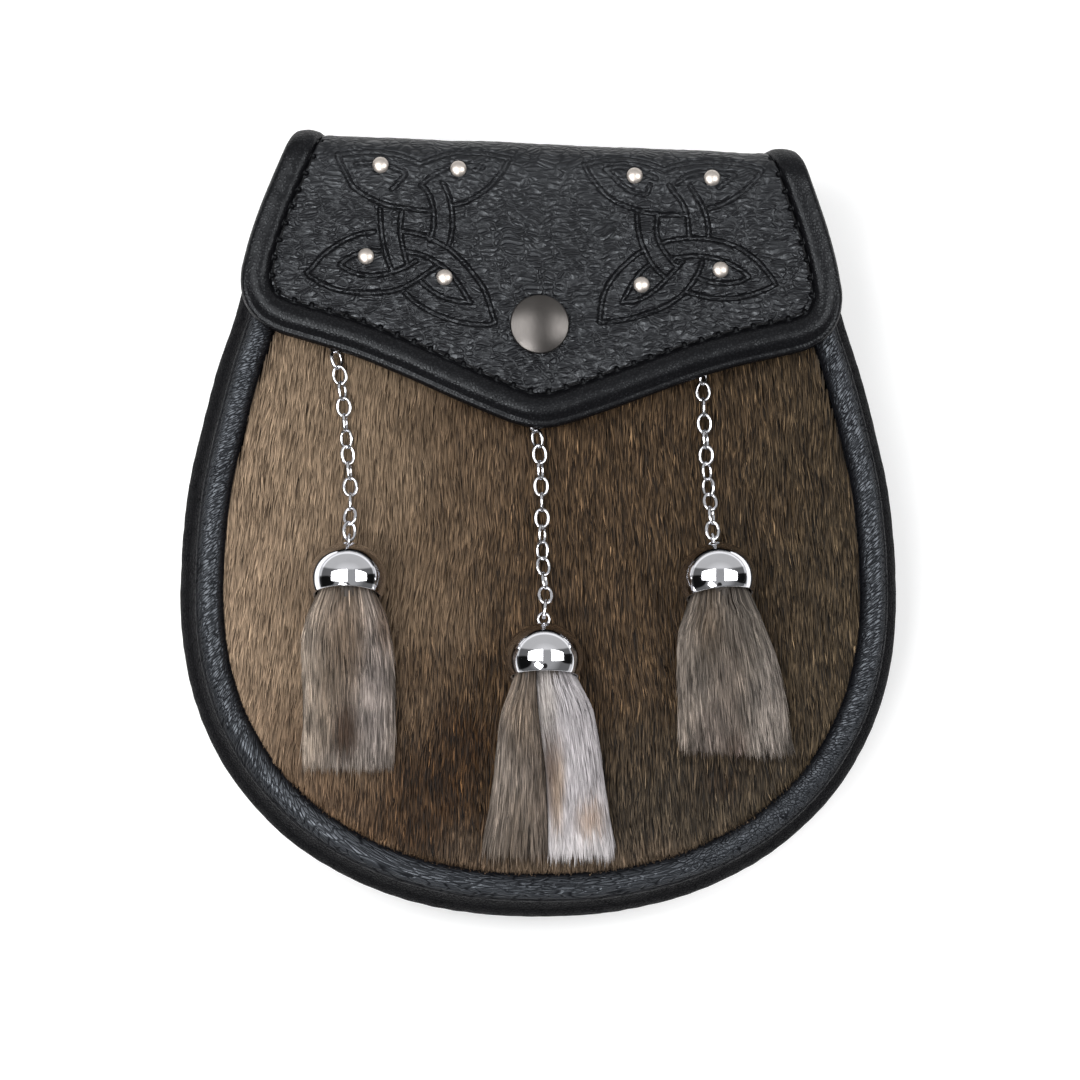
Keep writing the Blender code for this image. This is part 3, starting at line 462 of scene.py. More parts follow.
panelRings = (1.0, 0.99, 0.965, 0.92, 0.85, 0.76, 0.65, 0.52, 0.38, 0.24, 0.11)


def panelOutline(inset, topY, count=220, topCount=60):
    spots, normals, _ = bodyPath(count)
    spots = spots - normals * inset
    below = spots[spots[:, 1] < topY - 0.8]
    left = np.interp(topY, spots[: count // 2][::-1, 1], spots[: count // 2][::-1, 0])
    top = np.stack([np.linspace(-left, left, topCount), np.full(topCount, topY)], 1)
    return np.concatenate([below, top])


def platePoints(outline, centre, upper, lower):  # a closed plate between two height functions
    rings = [centre + (outline - centre) * share for share in panelRings]
    count = len(outline)
    flat = np.concatenate([*rings, centre[None, :]])
    top = np.concatenate([flat, upper(flat)[:, None]], 1)
    low = np.concatenate([flat, lower(flat)[:, None]], 1)
    ring = np.arange(count)
    quads, fans = [], []
    for first, flip in ((0, 1), (len(flat), -1)):
        for k in range(len(rings) - 1):
            a, b = first + k * count + ring, first + (k + 1) * count + ring
            quads.append(np.stack([a, np.roll(a, -1), np.roll(b, -1), b][::flip], 1))
        last = first + (len(rings) - 1) * count + ring
        fans.append(np.stack([last, np.roll(last, -1), np.full(count, first + len(flat) - 1)][::flip], 1))
    quads.append(np.stack([np.roll(ring, -1), ring, ring + len(flat), np.roll(ring, -1) + len(flat)], 1))
    return np.concatenate([top, low]), [np.concatenate(quads), np.concatenate(fans)]


backPanel = {"inset": 7.9, "topY": 91.3, "lowZ": 7.0, "wall": 1.8, "middleY": -10.0,
             "sag": 0.22, "sagSize": 38.0, "sagY": -15.0, "sagHalf": (80.0, 85.0)}


def makeBackPanel():
    def inside(flat):
        return np.full(len(flat), backPanel["lowZ"] + backPanel["wall"])

    def outside(flat):
        away = (flat - (0.0, backPanel["sagY"])) / backPanel["sagHalf"]
        reach = np.clip(1 - away[:, 0] ** 2 - away[:, 1] ** 2, 0, 1)
        return backPanel["lowZ"] + backPanel["sag"] * reach * ripple(flat, backPanel["sagSize"], 31)

    outline = panelOutline(backPanel["inset"], backPanel["topY"])
    points, faces = platePoints(outline, np.array([0.0, backPanel["middleY"]]), inside, outside)
    solidPiece("backPanelLeather", points, faces, bodyLeather, "black_leather", "back_panel")


fur = {
    "topY": 88.5,
    "inset": 12.7,
    "lowZ": 37.4,
    "faceZ": 40.6,
    "dome": 0.8,
    "domeY": -22.0,
    "domeHalf": (84.0, 75.0),
    "hideBelow": 1.5,  # the hide lies this far under the hair's face
    "blades": 52000,
    "length": (6.0, 10.5),
    "width": (0.22, 0.42),
    "rollSpread": radians(16),
    "swing": radians(5.5),
    "fan": radians(8),  # how far the hair at the left edge leans outwards
    "overlap": 0.7,  # the longest reach of a tip over the welt
    "coveredFrom": (36.0, 0.32),  # the flap covers it above this height, and more per mm from the middle
    "coveredShare": 0.22,  # of the hair is kept there
    "depths": (1.5, 0.5, 0.1),  # root, middle and tip below the hair's face
    "tone": (0.9, 0.88, 0.77),
}


def furHeight(flat):
    halfX, halfY = fur["domeHalf"]
    reach = (flat[..., 0] / halfX) ** 2 + ((flat[..., 1] - fur["domeY"]) / halfY) ** 2
    return fur["faceZ"] + fur["dome"] * np.clip(1 - reach, 0, None)


def makeHide():
    points, faces = platePoints(panelOutline(fur["inset"], fur["topY"]), np.array([0.0, fur["domeY"]]),
                                lambda flat: furHeight(flat) - fur["hideBelow"],
                                lambda flat: np.full(len(flat), fur["lowZ"]))
    solidPiece("furHide", points, faces, hideBrown, "brown_fur", "front_panel")


makeGusset()
for weltName, weltValues in welts.items():
    makeWelt(weltName, weltValues)
makeBackPanel()
makeHide()

# Hair: flat blades of five points, from the root over a middle to the tip


def bladePiece(name, roots, middles, tips, sideways, widths, colours, material):
    half = sideways * (widths / 2)[:, None]
    points = np.stack([roots - half, roots + half, middles - half * 0.85, middles + half * 0.85, tips], 1)
    first = np.arange(len(roots)) * 5
    quads = np.stack([first, first + 1, first + 3, first + 2], 1)
    tipFaces = np.stack([first + 2, first + 3, first + 4], 1)
    piece = makePiece(name, points, [quads, tipFaces], material)
    tint = np.ones((len(roots), 5, 4), np.float32)
    # painted shade and light: darker at the root, deep in the hair, lighter at the tip, on top
    for k, share in enumerate((0.4, 0.4, 0.88, 0.88, 1.1)):  # darker at the root, lighter at the tip
        tint[:, k, :3] = colours * share
    giveMark(piece, "hairTint", "FLOAT_COLOR", tint)
    return piece


def blended(spots, patches, base, baseShare, least=0.0):  # colours from a base and patches laid over it
    total = np.tile(linear(base) * baseShare, (len(spots), 1))
    weight = np.full(len(spots), baseShare)
    for x, y, reachX, reachY, colour, strength in patches:
        away = ((spots - (x, y)) / (reachX, reachY)) ** 2
        share = strength * np.exp(-away.sum(1)) + least
        total += share[:, None] * linear(colour)
        weight += share
    return total / weight[:, None]


# Patches of colour on the fur: (x, y, reach across, reach along, screen colour, strength)
furPatches = [
    # the pale patches on the left carry the fur's own colour and a painted sheen, where the hair there
    # catches the light
    (-78, -10, 22, 60, (150, 130, 115), 2.0),
    (-62, 25, 26, 40, (134, 116, 101), 1.8),
    (-66, -62, 14, 18, (98, 76, 60), 1.4),
    (-48, -20, 18, 34, (104, 86, 71), 1.2),
    (-22, 22, 16, 30, (90, 73, 59), 1.2),
    (-28, -66, 12, 20, (46, 29, 13), 2.6),
    (-50, -76, 16, 12, (70, 52, 38), 1.2),
    (-8, -40, 10, 26, (72, 56, 42), 1.0),
    (14, 10, 20, 50, (73, 57, 43), 1.2),
    (40, 20, 30, 46, (69, 55, 42), 1.6),
    (78, 0, 24, 60, (65, 55, 44), 1.6),
    (44, -74, 30, 20, (62, 54, 46), 1.4),
    (45, -64, 6, 4.5, (34, 22, 15), 3.0),
    (6, -88, 50, 9, (98, 84, 74), 1.6),
]


def furColour(flat, tips, draw):
    bend = np.stack([ripple(flat, 26.0, 41), ripple(flat, 26.0, 42)], 1) * 4.0  # it makes the patches uneven
    colour = blended(flat + bend, furPatches, (0, 0, 0), 0.0, 1e-5)
    dash = ripple(tips * (1.0, 0.17), 0.85, 43, 30)  # short strokes of lighter and darker hair
    # the hair's own uneven tone, with its dark side made stronger and about one blade in eight made dark as
    # painted shade in the gaps between clumps
    uneven = 0.3 * draw.normal(0, 1, len(flat)) + 0.34 * dash
    uneven = np.where(uneven < 0, 1.35, 0.8) * uneven * np.clip(2.45 - 17.0 * colour[:, 1], 0.72, 2.1)
    dark = np.where(draw.uniform(0, 1, len(flat)) < 0.12, -0.9, 0.08)
    shade = np.exp(uneven + dark + 0.07 * ripple(flat, 9.0, 44))[:, None]
    warmer = np.clip(shade, 0.3, 1.0) ** np.array([0.0, 0.06, 0.12])  # dark hair is a little browner
    return colour * shade * np.array(fur["tone"]) * warmer


def makeFrontFur():
    draw = np.random.default_rng(5)
    outline = panelOutline(fur["inset"] - 0.4, fur["topY"])
    right = outline[(outline[:, 0] >= 0) & (outline[:, 1] < fur["topY"] - 0.5)]
    right = right[np.argsort(right[:, 1])]
    lowest = right[0, 1]
    count = int(fur["blades"] * 1.45)  # those outside the panel and most of the covered ones are left out
    flat = np.stack([draw.uniform(-86, 86, count), draw.uniform(lowest, fur["topY"], count)], 1)
    inside = np.abs(flat[:, 0]) < np.interp(flat[:, 1], right[:, 1], right[:, 0])
    height, slope = fur["coveredFrom"]
    hidden = flat[:, 1] > height + slope * np.abs(flat[:, 0])
    keep = inside & (~hidden | (draw.uniform(0, 1, count) < fur["coveredShare"]))
    flat = flat[keep][: fur["blades"]]
    count = len(flat)
    sway = 0.55 * draw.normal(size=count) + 0.55 * ripple(flat, 14.0, 45) + 0.5 * ripple(flat, 46.0, 46)
    lean = fur["swing"] * sway + fur["fan"] * np.clip(flat[:, 0] / 90, -1, 0.3)
    way = np.stack([np.sin(lean), -np.cos(lean)], 1)
    bowl, _, _ = bodyPath(300)

    def gapIn(spots):  # distance in from the hide's edge, negative over the welt
        gap = np.interp(spots[:, 1], right[:, 1], right[:, 0]) - np.abs(spots[:, 0])
        low = spots[:, 1] < lowest + 30
        gap[low] = np.linalg.norm(spots[low][:, None, :] - bowl[None, ::2, :], axis=2).min(1) - fur["inset"]
        return gap

    def onFur(spots, depth):  # the hair's face, climbing on the welt where it reaches it
        rise = furHeight(spots) - depth
        roll = welts["frontWeltRoll"]
        over = gapIn(spots)
        inwards = np.clip(roll["radius"] + clearance + over, 0, roll["radius"])
        crest = roll["centreZ"] + np.sqrt(np.clip(roll["radius"] ** 2 - inwards**2, 0, None)) + 0.1
        return np.where(over < clearance, np.maximum(rise, crest), rise)

    length = draw.uniform(*fur["length"], count)
    allowed = draw.uniform(0.0, fur["overlap"], count)
    near, far = gapIn(flat), gapIn(flat + way * length[:, None])
    length *= np.clip(np.where(far < -allowed, (near + allowed) / np.maximum(near - far, 0.1), 1.0), 0.1, 1.0)
    middle = flat + way * (length * 0.7)[:, None]
    side = draw.normal(0, 0.2, count)
    tip = flat + way * length[:, None] + np.stack([side, np.zeros(count)], 1)
    lift = draw.normal(0, 1, count)
    rootDepth, middleDepth, tipDepth = fur["depths"]
    roots = np.concatenate([flat, onFur(flat, rootDepth)[:, None]], 1)
    middles = np.concatenate([middle, onFur(middle, middleDepth - 0.12 * lift)[:, None]], 1)
    tips = np.concatenate([tip, onFur(tip, tipDepth - 0.22 * lift)[:, None]], 1)
    roll = draw.normal(0, fur["rollSpread"], count)
    sideways = np.stack([np.cos(roll) * -way[:, 1], np.cos(roll) * way[:, 0], np.sin(roll)], 1)
    widths = draw.uniform(*fur["width"], count)
    colours = furColour(flat, tip, draw)
    settle(bladePiece("frontFur", roots, middles, tips, sideways, widths, colours, frontHair), "brown_fur")
    print("sporran: front fur", count, "blades")


makeFrontFur()

# Flap

print("sporran: flap")

flap = {
    "thick": 3.0,
    "lowZ": 45.6,
    "centreX": -0.5,
    "turnY": 60.0,
    "skew": radians(-1.8),
    "topY": 101.0,
    "bend": 8.0,
    "rearZ": 3.7,  # outer face of the strip sewn to the back
    "strip": 13.0,
    "side": [(64.0, 79.7), (72.0, 77.9), (80.0, 75.5), (88.0, 72.6), (96.0, 69.5), (104.0, 66.4),
             (118.0, 64.2), (132.0, 62.0), (156.0, 60.0)],  # (along, half width)
    "corner": ((79.7, 64.0), (81.3, 49.6), (66.0, 46.2)),  # start, pull and end of its round
    "lower": [(-6.0, 25.2), (0.0, 24.3), (6.0, 25.2), (13.0, 27.6), (23.0, 31.5), (37.0, 37.2), (50.0, 41.9),
              (66.0, 46.2)],  # (across, along)
    "tuck": 2.5,  # how far it reaches into the binding
    "wave": (0.13, 19.0),  # height and size of its soft waves, then of its fine ones
    "fineWave": (0.05, 4.2),
    "puff": (0.2, 1.7, 1.0),  # height, middle and reach of the swelling beside the seam
    "seamDrop": (0.75, 0.15, 0.22),  # depth, place and softness of the step down into the binding
    "stitchPit": (0.6, 0.6),  # depth and reach
    "fineCells": (3, 1.3),  # cuts in each face near the tooling, reach beside the stitches
}
flapBendMid = flap["bend"] - flap["thick"] / 2
flapBendStart = flap["topY"] - flap["bend"]
flapTopStart = flapBendStart + flapBendMid * pi / 2
flapMiddleZ = flap["lowZ"] + flap["thick"] / 2
flapStraight = flapMiddleZ - flapBendMid - (flap["rearZ"] + flap["bend"])
flapTopEnd = flapTopStart + flapStraight
flapRearStart = flapTopEnd + flapBendMid * pi / 2
binding = {
    "sideWidth": 7.2,
    "lowerWidth": 8.8,
    "widen": (70.0, 46.0),  # its width grows between these places along the flap
    # the fold's outer face as (share of the width, lift), on the sides and along the lower edge
    "sideFace": [(0.96, -2.25), (0.15, -2.25), (0.03, -1.5), (0.0, -0.6), (0.0, 0.5), (0.03, 1.4),
                 (0.07, 2.0), (0.13, 2.42), (0.22, 2.66), (0.34, 2.78), (0.47, 2.82), (0.6, 2.8),
                 (0.72, 2.72), (0.83, 2.54), (0.91, 2.2), (0.97, 1.65), (1.0, 1.0)],
    "lowerFace": [(0.96, -2.25), (0.15, -2.25), (0.03, -1.5), (0.0, -0.6), (0.01, 0.5), (0.05, 1.3),
                  (0.1, 1.62), (0.16, 1.55), (0.22, 1.75), (0.31, 2.6), (0.42, 3.2), (0.54, 3.42),
                  (0.66, 3.3), (0.78, 2.85), (0.88, 2.2), (0.965, 1.45), (1.0, 1.05)],
    "slot": (0.9, -1.8),  # upper and lower face of the slot that takes the flap
    "stitchPitch": 4.8,
    "stitchIn": 0.75,  # from the binding's inner edge into the flap
    "wave": 0.07,
    "pull": (0.28, 1.3),  # depth and reach of the dents that the stitches pull
    "step": 0.85,
}


def flapPlace(across, along, lift):  # from the flap's flat pattern to its bent, turned place
    first = np.clip((along - flapBendStart) / flapBendMid, 0, pi / 2)
    second = np.clip((along - flapTopEnd) / flapBendMid, 0, pi / 2)
    down = np.clip(along - flapTopStart, 0, flapStraight)
    back = np.maximum(along - flapRearStart, 0)
    y = np.minimum(along, flapBendStart) + flapBendMid * (np.sin(first) - 1 + np.cos(second)) - back
    z = flapMiddleZ - flapBendMid * (1 - np.cos(first)) - down - flapBendMid * np.sin(second)
    angle = first + second
    y = y + lift * np.sin(angle) - flap["turnY"]
    z = z + lift * np.cos(angle)
    turn = flap["skew"]
    return np.stack([across * cos(turn) - y * sin(turn) + flap["centreX"],
                     across * sin(turn) + y * cos(turn) + flap["turnY"], z + 0 * across], -1)


def flapEdge():  # right half of the outer edge on the pattern, from the back to the tip
    rows = np.concatenate([np.linspace(flapRearStart + flap["strip"], flapBendStart, 60)[:-1],
                           np.linspace(flapBendStart, 64.0, 36)])
    side = np.stack([smoothRow(flap["side"], rows), rows], 1)
    a, pull, b = (np.array(p) for p in flap["corner"])
    share = np.linspace(0, 1, 25)[1:, None]
    corner = (1 - share) ** 2 * a + 2 * (1 - share) * share * pull + share**2 * b
    x = np.arange(b[0] - 1, -0.01, -1.0)
    return np.concatenate([side, corner, np.stack([x, smoothRow(flap["lower"], x)], 1)]), len(side) + 11


def bindingWidth(along):
    high, low = binding["widen"]
    share = np.clip((high - along) / (high - low), 0, 1)
    return binding["sideWidth"] + (binding["lowerWidth"] - binding["sideWidth"]) * share, share


def insetEdge(edge, insets):
    whole = np.concatenate([edge[:1], edge, [(-edge[-2][0], edge[-2][1])]])
    run = unit(whole[2:] - whole[:-2])
    return edge + np.stack([run[:, 1], -run[:, 0]], 1) * np.asarray(insets)[:, None]


def mirrored(half):
    return np.concatenate([half, half[-2::-1] * (-1.0, 1.0)])


def resample(path, step):
    lengths = np.concatenate([[0], np.cumsum(np.linalg.norm(np.diff(path, axis=0), axis=1))])
    at = np.linspace(0, lengths[-1], max(int(round(lengths[-1] / step)), 1) + 1)
    return np.stack([np.interp(at, lengths, path[:, k]) for k in range(path.shape[1])], 1)


def seamLine(inwards):  # a line beside the binding's inner edge, on the flap's pattern
    return mirrored(insetEdge(flapHalf, bindingWidth(flapHalf[:, 1])[0] + inwards))


flapHalf, flapCornerIndex = flapEdge()
threadLine = seamLine(binding["stitchIn"])
stitchSpots = resample(threadLine[threadLine[:, 1] < flapTopEnd], binding["stitchPitch"])

# The tooled knots: each line is pressed with a double groove. Places on the flap's pattern.
knotLeft = [
    [(-62.4, 63.1), (-60.8, 64.8), (-58.8, 67.5), (-56.3, 69.6), (-53.7, 71.6), (-51.1, 73.0), (-48.5, 74.0),
     (-45.1, 74.7)],
    [(-37.7, 75.1), (-35.4, 74.9), (-32.7, 74.3), (-30.1, 73.4), (-27.4, 72.1), (-24.7, 70.6), (-22.0, 68.3),
     (-19.8, 66.0), (-17.7, 63.5), (-15.7, 60.7), (-14.3, 57.5), (-13.2, 54.4), (-12.3, 51.8)],
    [(-62.4, 62.9), (-60.2, 61.4), (-57.3, 59.9), (-54.6, 59.0), (-51.2, 58.5), (-48.0, 58.3), (-44.9, 58.4),
     (-41.4, 58.8), (-38.8, 59.4), (-36.2, 60.5), (-33.9, 61.9), (-31.6, 63.6), (-29.8, 64.9), (-28.0, 66.1)],
    [(-53.8, 65.5), (-52.2, 67.0), (-50.4, 68.1), (-48.3, 69.0), (-46.3, 69.5), (-43.4, 69.6)],
    [(-53.8, 65.5), (-51.9, 64.4), (-49.7, 63.5), (-47.1, 63.0), (-43.9, 63.1), (-40.8, 63.8), (-38.2, 64.8),
     (-35.9, 65.9), (-33.8, 67.4)],
    [(-43.7, 80.6), (-43.5, 77.9), (-43.1, 74.8), (-42.5, 71.4), (-41.5, 68.0), (-40.0, 64.6)],
    [(-37.9, 80.2), (-38.2, 77.0), (-38.0, 73.9), (-37.3, 70.8), (-36.5, 67.9), (-35.9, 66.1)],
    [(-32.9, 87.5), (-31.2, 85.7), (-30.1, 83.1), (-29.5, 80.5), (-29.4, 77.3), (-29.7, 74.9), (-30.3, 73.1)],
    [(-27.4, 88.4), (-26.0, 85.8), (-25.1, 83.0), (-24.6, 80.1), (-24.4, 77.0), (-24.7, 74.0), (-25.3, 71.7)],
    [(-36.8, 69.7), (-34.1, 69.4), (-31.2, 68.6), (-28.3, 67.1), (-25.6, 65.3), (-23.4, 63.0), (-21.5, 60.5),
     (-20.1, 58.4), (-19.0, 56.9)],
    [(-36.2, 58.7), (-34.3, 56.9), (-32.1, 55.4), (-29.5, 54.0), (-26.8, 52.9), (-24.1, 52.1), (-21.0, 51.4),
     (-17.5, 51.1), (-14.1, 51.1), (-12.3, 51.8)],
    [(-32.3, 62.0), (-30.2, 60.2), (-28.0, 58.8), (-25.4, 57.7), (-22.7, 57.1), (-20.6, 56.9), (-19.0, 56.9)],
    [(-55.5, 94.6), (-54.3, 92.2), (-52.9, 89.7), (-51.5, 87.1), (-49.6, 85.4), (-47.5, 84.1), (-44.8, 82.9),
     (-42.2, 82.0), (-39.5, 81.5), (-36.9, 81.2), (-34.0, 80.9), (-30.3, 80.8)],
    [(-50.4, 92.7), (-47.8, 93.0), (-44.9, 93.1), (-42.2, 92.7), (-39.6, 91.7), (-37.4, 90.5), (-38.4, 88.9),
     (-39.7, 87.3), (-40.7, 86.2)],
    [(-55.5, 94.6), (-51.8, 95.2), (-47.9, 95.6), (-43.9, 95.6), (-40.0, 95.3), (-37.1, 94.6), (-34.9, 93.8),
     (-33.3, 93.3)],
    [(-33.3, 93.3), (-31.3, 94.1), (-28.7, 95.1), (-25.5, 96.0), (-22.1, 96.3), (-18.2, 96.4), (-14.5, 96.0),
     (-10.0, 95.3)],
    [(-33.1, 87.5), (-31.6, 89.1), (-29.8, 90.5), (-27.7, 91.7), (-25.4, 92.8), (-22.8, 93.3), (-19.9, 93.3),
     (-17.0, 93.0)],
    [(-24.6, 82.5), (-22.0, 83.2), (-19.4, 84.5), (-16.8, 86.3), (-14.5, 88.4), (-12.5, 91.0), (-11.0, 93.3),
     (-10.0, 95.3)],
]
knotRight = [
    [(10.0, 94.5), (11.4, 92.0), (13.4, 89.5), (15.8, 87.0), (19.0, 85.0), (22.8, 83.6), (26.5, 82.6),
     (30.2, 82.2), (34.1, 82.2), (37.5, 82.4)],
    [(15.6, 93.6), (17.9, 94.1), (20.6, 94.3), (23.2, 94.0), (25.9, 93.2), (29.1, 91.8)],
    [(16.1, 93.4), (18.0, 91.7), (19.9, 89.9), (22.1, 88.4), (24.5, 87.6), (26.8, 87.5), (27.6, 89.9)],
    [(10.0, 94.5), (13.4, 95.3), (17.1, 95.9), (21.3, 96.1), (25.0, 95.8), (28.4, 95.0), (31.4, 94.0)],
    [(31.4, 94.0), (34.0, 95.1), (37.6, 95.8), (41.5, 96.3), (46.0, 96.5), (50.7, 96.2), (54.4, 95.7),
     (57.4, 94.9)],
    [(34.9, 90.7), (37.2, 92.6), (39.8, 93.5), (42.4, 93.9), (45.0, 93.9), (47.7, 93.8), (50.1, 93.5)],
    [(57.4, 94.9), (56.1, 93.1), (54.6, 91.3), (52.6, 89.2), (50.3, 87.5), (47.7, 85.9), (45.1, 84.8),
     (43.3, 84.2)],
    [(50.1, 93.5), (48.0, 91.6), (46.0, 90.1)],
    [(32.8, 90.1), (34.2, 88.1), (35.6, 86.5), (36.8, 84.4), (37.7, 82.1), (38.1, 79.4), (38.4, 76.6)],
    [(38.3, 90.2), (39.7, 88.0), (41.1, 85.9), (42.2, 83.8), (42.9, 81.7), (43.4, 79.3), (43.6, 76.7)],
    [(24.4, 81.6), (24.6, 79.3), (25.1, 76.7), (25.9, 74.1), (27.4, 71.2), (29.0, 68.6), (30.9, 66.6),
     (32.8, 65.1)],
    [(29.9, 81.8), (29.7, 79.2), (29.9, 76.6), (30.8, 74.2), (32.1, 72.2), (33.7, 70.2), (35.6, 68.3)],
    [(26.5, 72.5), (24.5, 71.1), (22.4, 69.2), (20.4, 67.2), (18.6, 64.9), (17.1, 62.5), (16.1, 59.8),
     (15.6, 56.9), (15.3, 52.9)],
    [(15.3, 52.9), (18.4, 53.2), (21.6, 53.7), (24.7, 54.5), (27.8, 55.6), (31.0, 56.9), (33.8, 58.5),
     (36.4, 60.4), (38.4, 62.6), (39.9, 64.8), (41.2, 67.2), (42.1, 70.1)],
    [(28.0, 68.6), (26.2, 67.0), (24.4, 64.5), (22.9, 61.9), (21.9, 60.0), (21.2, 58.4)],
    [(21.2, 58.4), (23.5, 58.7), (25.9, 59.3), (28.2, 60.7), (30.5, 62.6), (32.8, 65.1), (34.8, 67.4),
     (36.9, 69.9)],
    [(30.7, 74.2), (33.0, 75.2), (35.6, 75.8), (38.8, 76.2), (41.9, 76.2), (45.1, 76.0), (48.3, 75.3),
     (51.2, 74.3), (53.9, 72.8), (56.6, 70.9), (58.7, 68.8), (60.4, 66.7), (61.8, 64.7)],
    [(38.4, 61.8), (40.6, 61.2), (42.9, 60.7), (45.8, 60.4), (49.0, 60.4), (52.1, 60.8), (55.3, 61.6),
     (58.1, 62.7), (60.2, 63.7), (61.8, 64.7)],
    [(34.0, 70.4), (36.6, 71.0), (39.4, 71.4), (42.3, 71.4), (45.2, 71.0), (48.2, 70.2), (50.8, 69.1),
     (53.0, 67.8), (54.6, 66.5)],
    [(54.6, 66.5), (53.0, 65.4), (50.7, 64.7), (48.1, 64.4), (45.2, 64.5), (42.5, 65.1), (40.7, 65.8)],
]
knot = {"reach": 1.45, "grooveWidth": 0.2, "depth": 0.4, "brim": 0.08, "brimAt": 1.2, "brimWidth": 0.3,
        "smoothFrom": 80.0, "smoothTo": 93.0, "smooth": 0.6, "step": 0.8}


def smoothPath(corners, step):  # a curve through the corners, in equal steps
    p = np.array(corners, float)
    p = np.concatenate([2 * p[:1] - p[1:2], p, 2 * p[-1:] - p[-2:-1]])
    t = np.linspace(0, 1, 12, endpoint=False)[:, None]
    found = []
    for before, start, end, after in zip(p, p[1:], p[2:], p[3:]):
        found.append(0.5 * (2 * start + (end - before) * t + (2 * before - 5 * start + 4 * end - after) * t**2
                            + (3 * start - before - 3 * end + after) * t**3))
    return resample(np.concatenate([*found, p[-2:-1]]), step)


knotPaths = [smoothPath(line, knot["step"]) for line in knotLeft + knotRight]


def awayFrom(spots, paths, most):  # distance to the nearest path, no more than most
    nearest = np.full(len(spots), float(most))
    for path in paths:
        low, high = path.min(0) - most, path.max(0) + most
        near = np.flatnonzero(((spots > low) & (spots < high)).all(1))
        for part in np.array_split(near, max(len(near) // 4000, 1)):
            a, b = path[None, :-1], path[None, 1:]
            q = spots[part][:, None, :]
            share = np.clip(((q - a) * (b - a)).sum(2) / np.maximum(((b - a) ** 2).sum(2), 1e-9), 0, 1)
            gap = np.linalg.norm(q - a - share[..., None] * (b - a), axis=2).min(1)
            nearest[part] = np.minimum(nearest[part], gap)
    return nearest


def bellCurve(away, reach):
    return np.exp(-((away / reach) ** 2))


def fromStitches(flat):
    return awayFrom(flat, [spot[None].repeat(2, 0) for spot in stitchSpots], 3.0)


def flapFace(flat):  # lift of the flap's outer face, and the marks that its material reads
    (wave, waveSize), (fine, fineSize) = flap["wave"], flap["fineWave"]
    lift = flap["thick"] / 2 + wave * ripple(flat, waveSize, 51)
    lift += fine * ripple(flat * (1.0, 1.8), fineSize, 52)
    gap = awayFrom(flat, knotPaths, 2.5)
    climb = np.clip((flat[:, 1] - knot["smoothFrom"]) / (knot["smoothTo"] - knot["smoothFrom"]), 0, 1)
    climb = climb * climb * (3 - 2 * climb)  # 1 near the bend, where the leather is pulled smooth
    groove = bellCurve(gap - tooling["at"], knot["grooveWidth"]) * (1 - 0.25 * climb)
    lift += -knot["depth"] * groove + knot["brim"] * bellCurve(gap - knot["brimAt"], knot["brimWidth"])
    inwards = awayFrom(flat, [seamLine(0.0)], 6.0)
    under = awayFrom(flat, [seamLine(-flap["tuck"])], 6.0) < flap["tuck"] - 0.02
    inwards = np.where(under, -inwards, inwards)
    stitch = fromStitches(flat)
    high, middle, reach = flap["puff"]
    puff = high * bellCurve(inwards - middle, reach) * np.clip(stitch / 2.0, 0, 1)
    deep, place, soft = flap["seamDrop"]
    drop = deep * (1 / (1 + np.exp((inwards - place) / soft)))
    pitDepth, pitReach = flap["stitchPit"]
    # painted shade in the stitch holes and in the crease where the flap steps down into the binding
    crease = bellCurve(np.maximum(inwards, 0), 0.42)
    paintedSeamShade = np.maximum(bellCurve(stitch, 0.8), crease)
    marks = {"pressed": knot["smooth"] * climb, "toolGap": gap, "paintedSeamShade": paintedSeamShade}
    return lift + puff - drop - pitDepth * bellCurve(stitch, pitReach), marks


def flapGrid():  # the flap's pattern in rows and columns, fitted to its corners and lower edge
    edge = insetEdge(flapHalf, bindingWidth(flapHalf[:, 1])[0] - flap["tuck"])
    side, lower = edge[: flapCornerIndex + 1], edge[flapCornerIndex:]
    cornerX, cornerAlong = lower[0]
    columns = np.concatenate([-lower[:, 0] / cornerX, lower[-2::-1, 0] / cornerX])
    columnAlong = np.concatenate([lower[:, 1], lower[-2::-1, 1]])
    drop = np.clip((flapBendStart - side[:, 1]) / (flapBendStart - cornerAlong), 0, 1)
    along = side[:, 1:] + drop[:, None] * (columnAlong[None, :] - cornerAlong)
    return np.stack([columns[None, :] * side[:, :1], along], 2)


def refined(flat, quads):  # the pattern with smaller faces at the tooling and the stitches
    cuts, besideStitches = flap["fineCells"]
    face = np.concatenate([flat, np.zeros((len(flat), 1))], 1)
    bm = bmesh.new()
    corners = [bm.verts.new(p) for p in face]
    for quad in quads:
        bm.faces.new([corners[k] for k in quad])
    middles = face[quads].mean(1)[:, :2]
    near = awayFrom(middles, knotPaths, 3.0) < knot["reach"]
    near = near | (awayFrom(middles, [threadLine], 3.0) < besideStitches)
    bm.faces.ensure_lookup_table()
    edges = dict.fromkeys(edge for k in np.flatnonzero(near) for edge in bm.faces[k].edges)
    bmesh.ops.subdivide_edges(bm, edges=list(edges), cuts=cuts, use_grid_fill=True)
    bm.verts.index_update()
    spots = np.array([corner.co[:] for corner in bm.verts])[:, :2]
    bySize = {}
    for cell in bm.faces:
        bySize.setdefault(len(cell.verts), []).append([corner.index for corner in cell.verts])
    bm.free()
    return spots, [np.array(group) for group in bySize.values()]


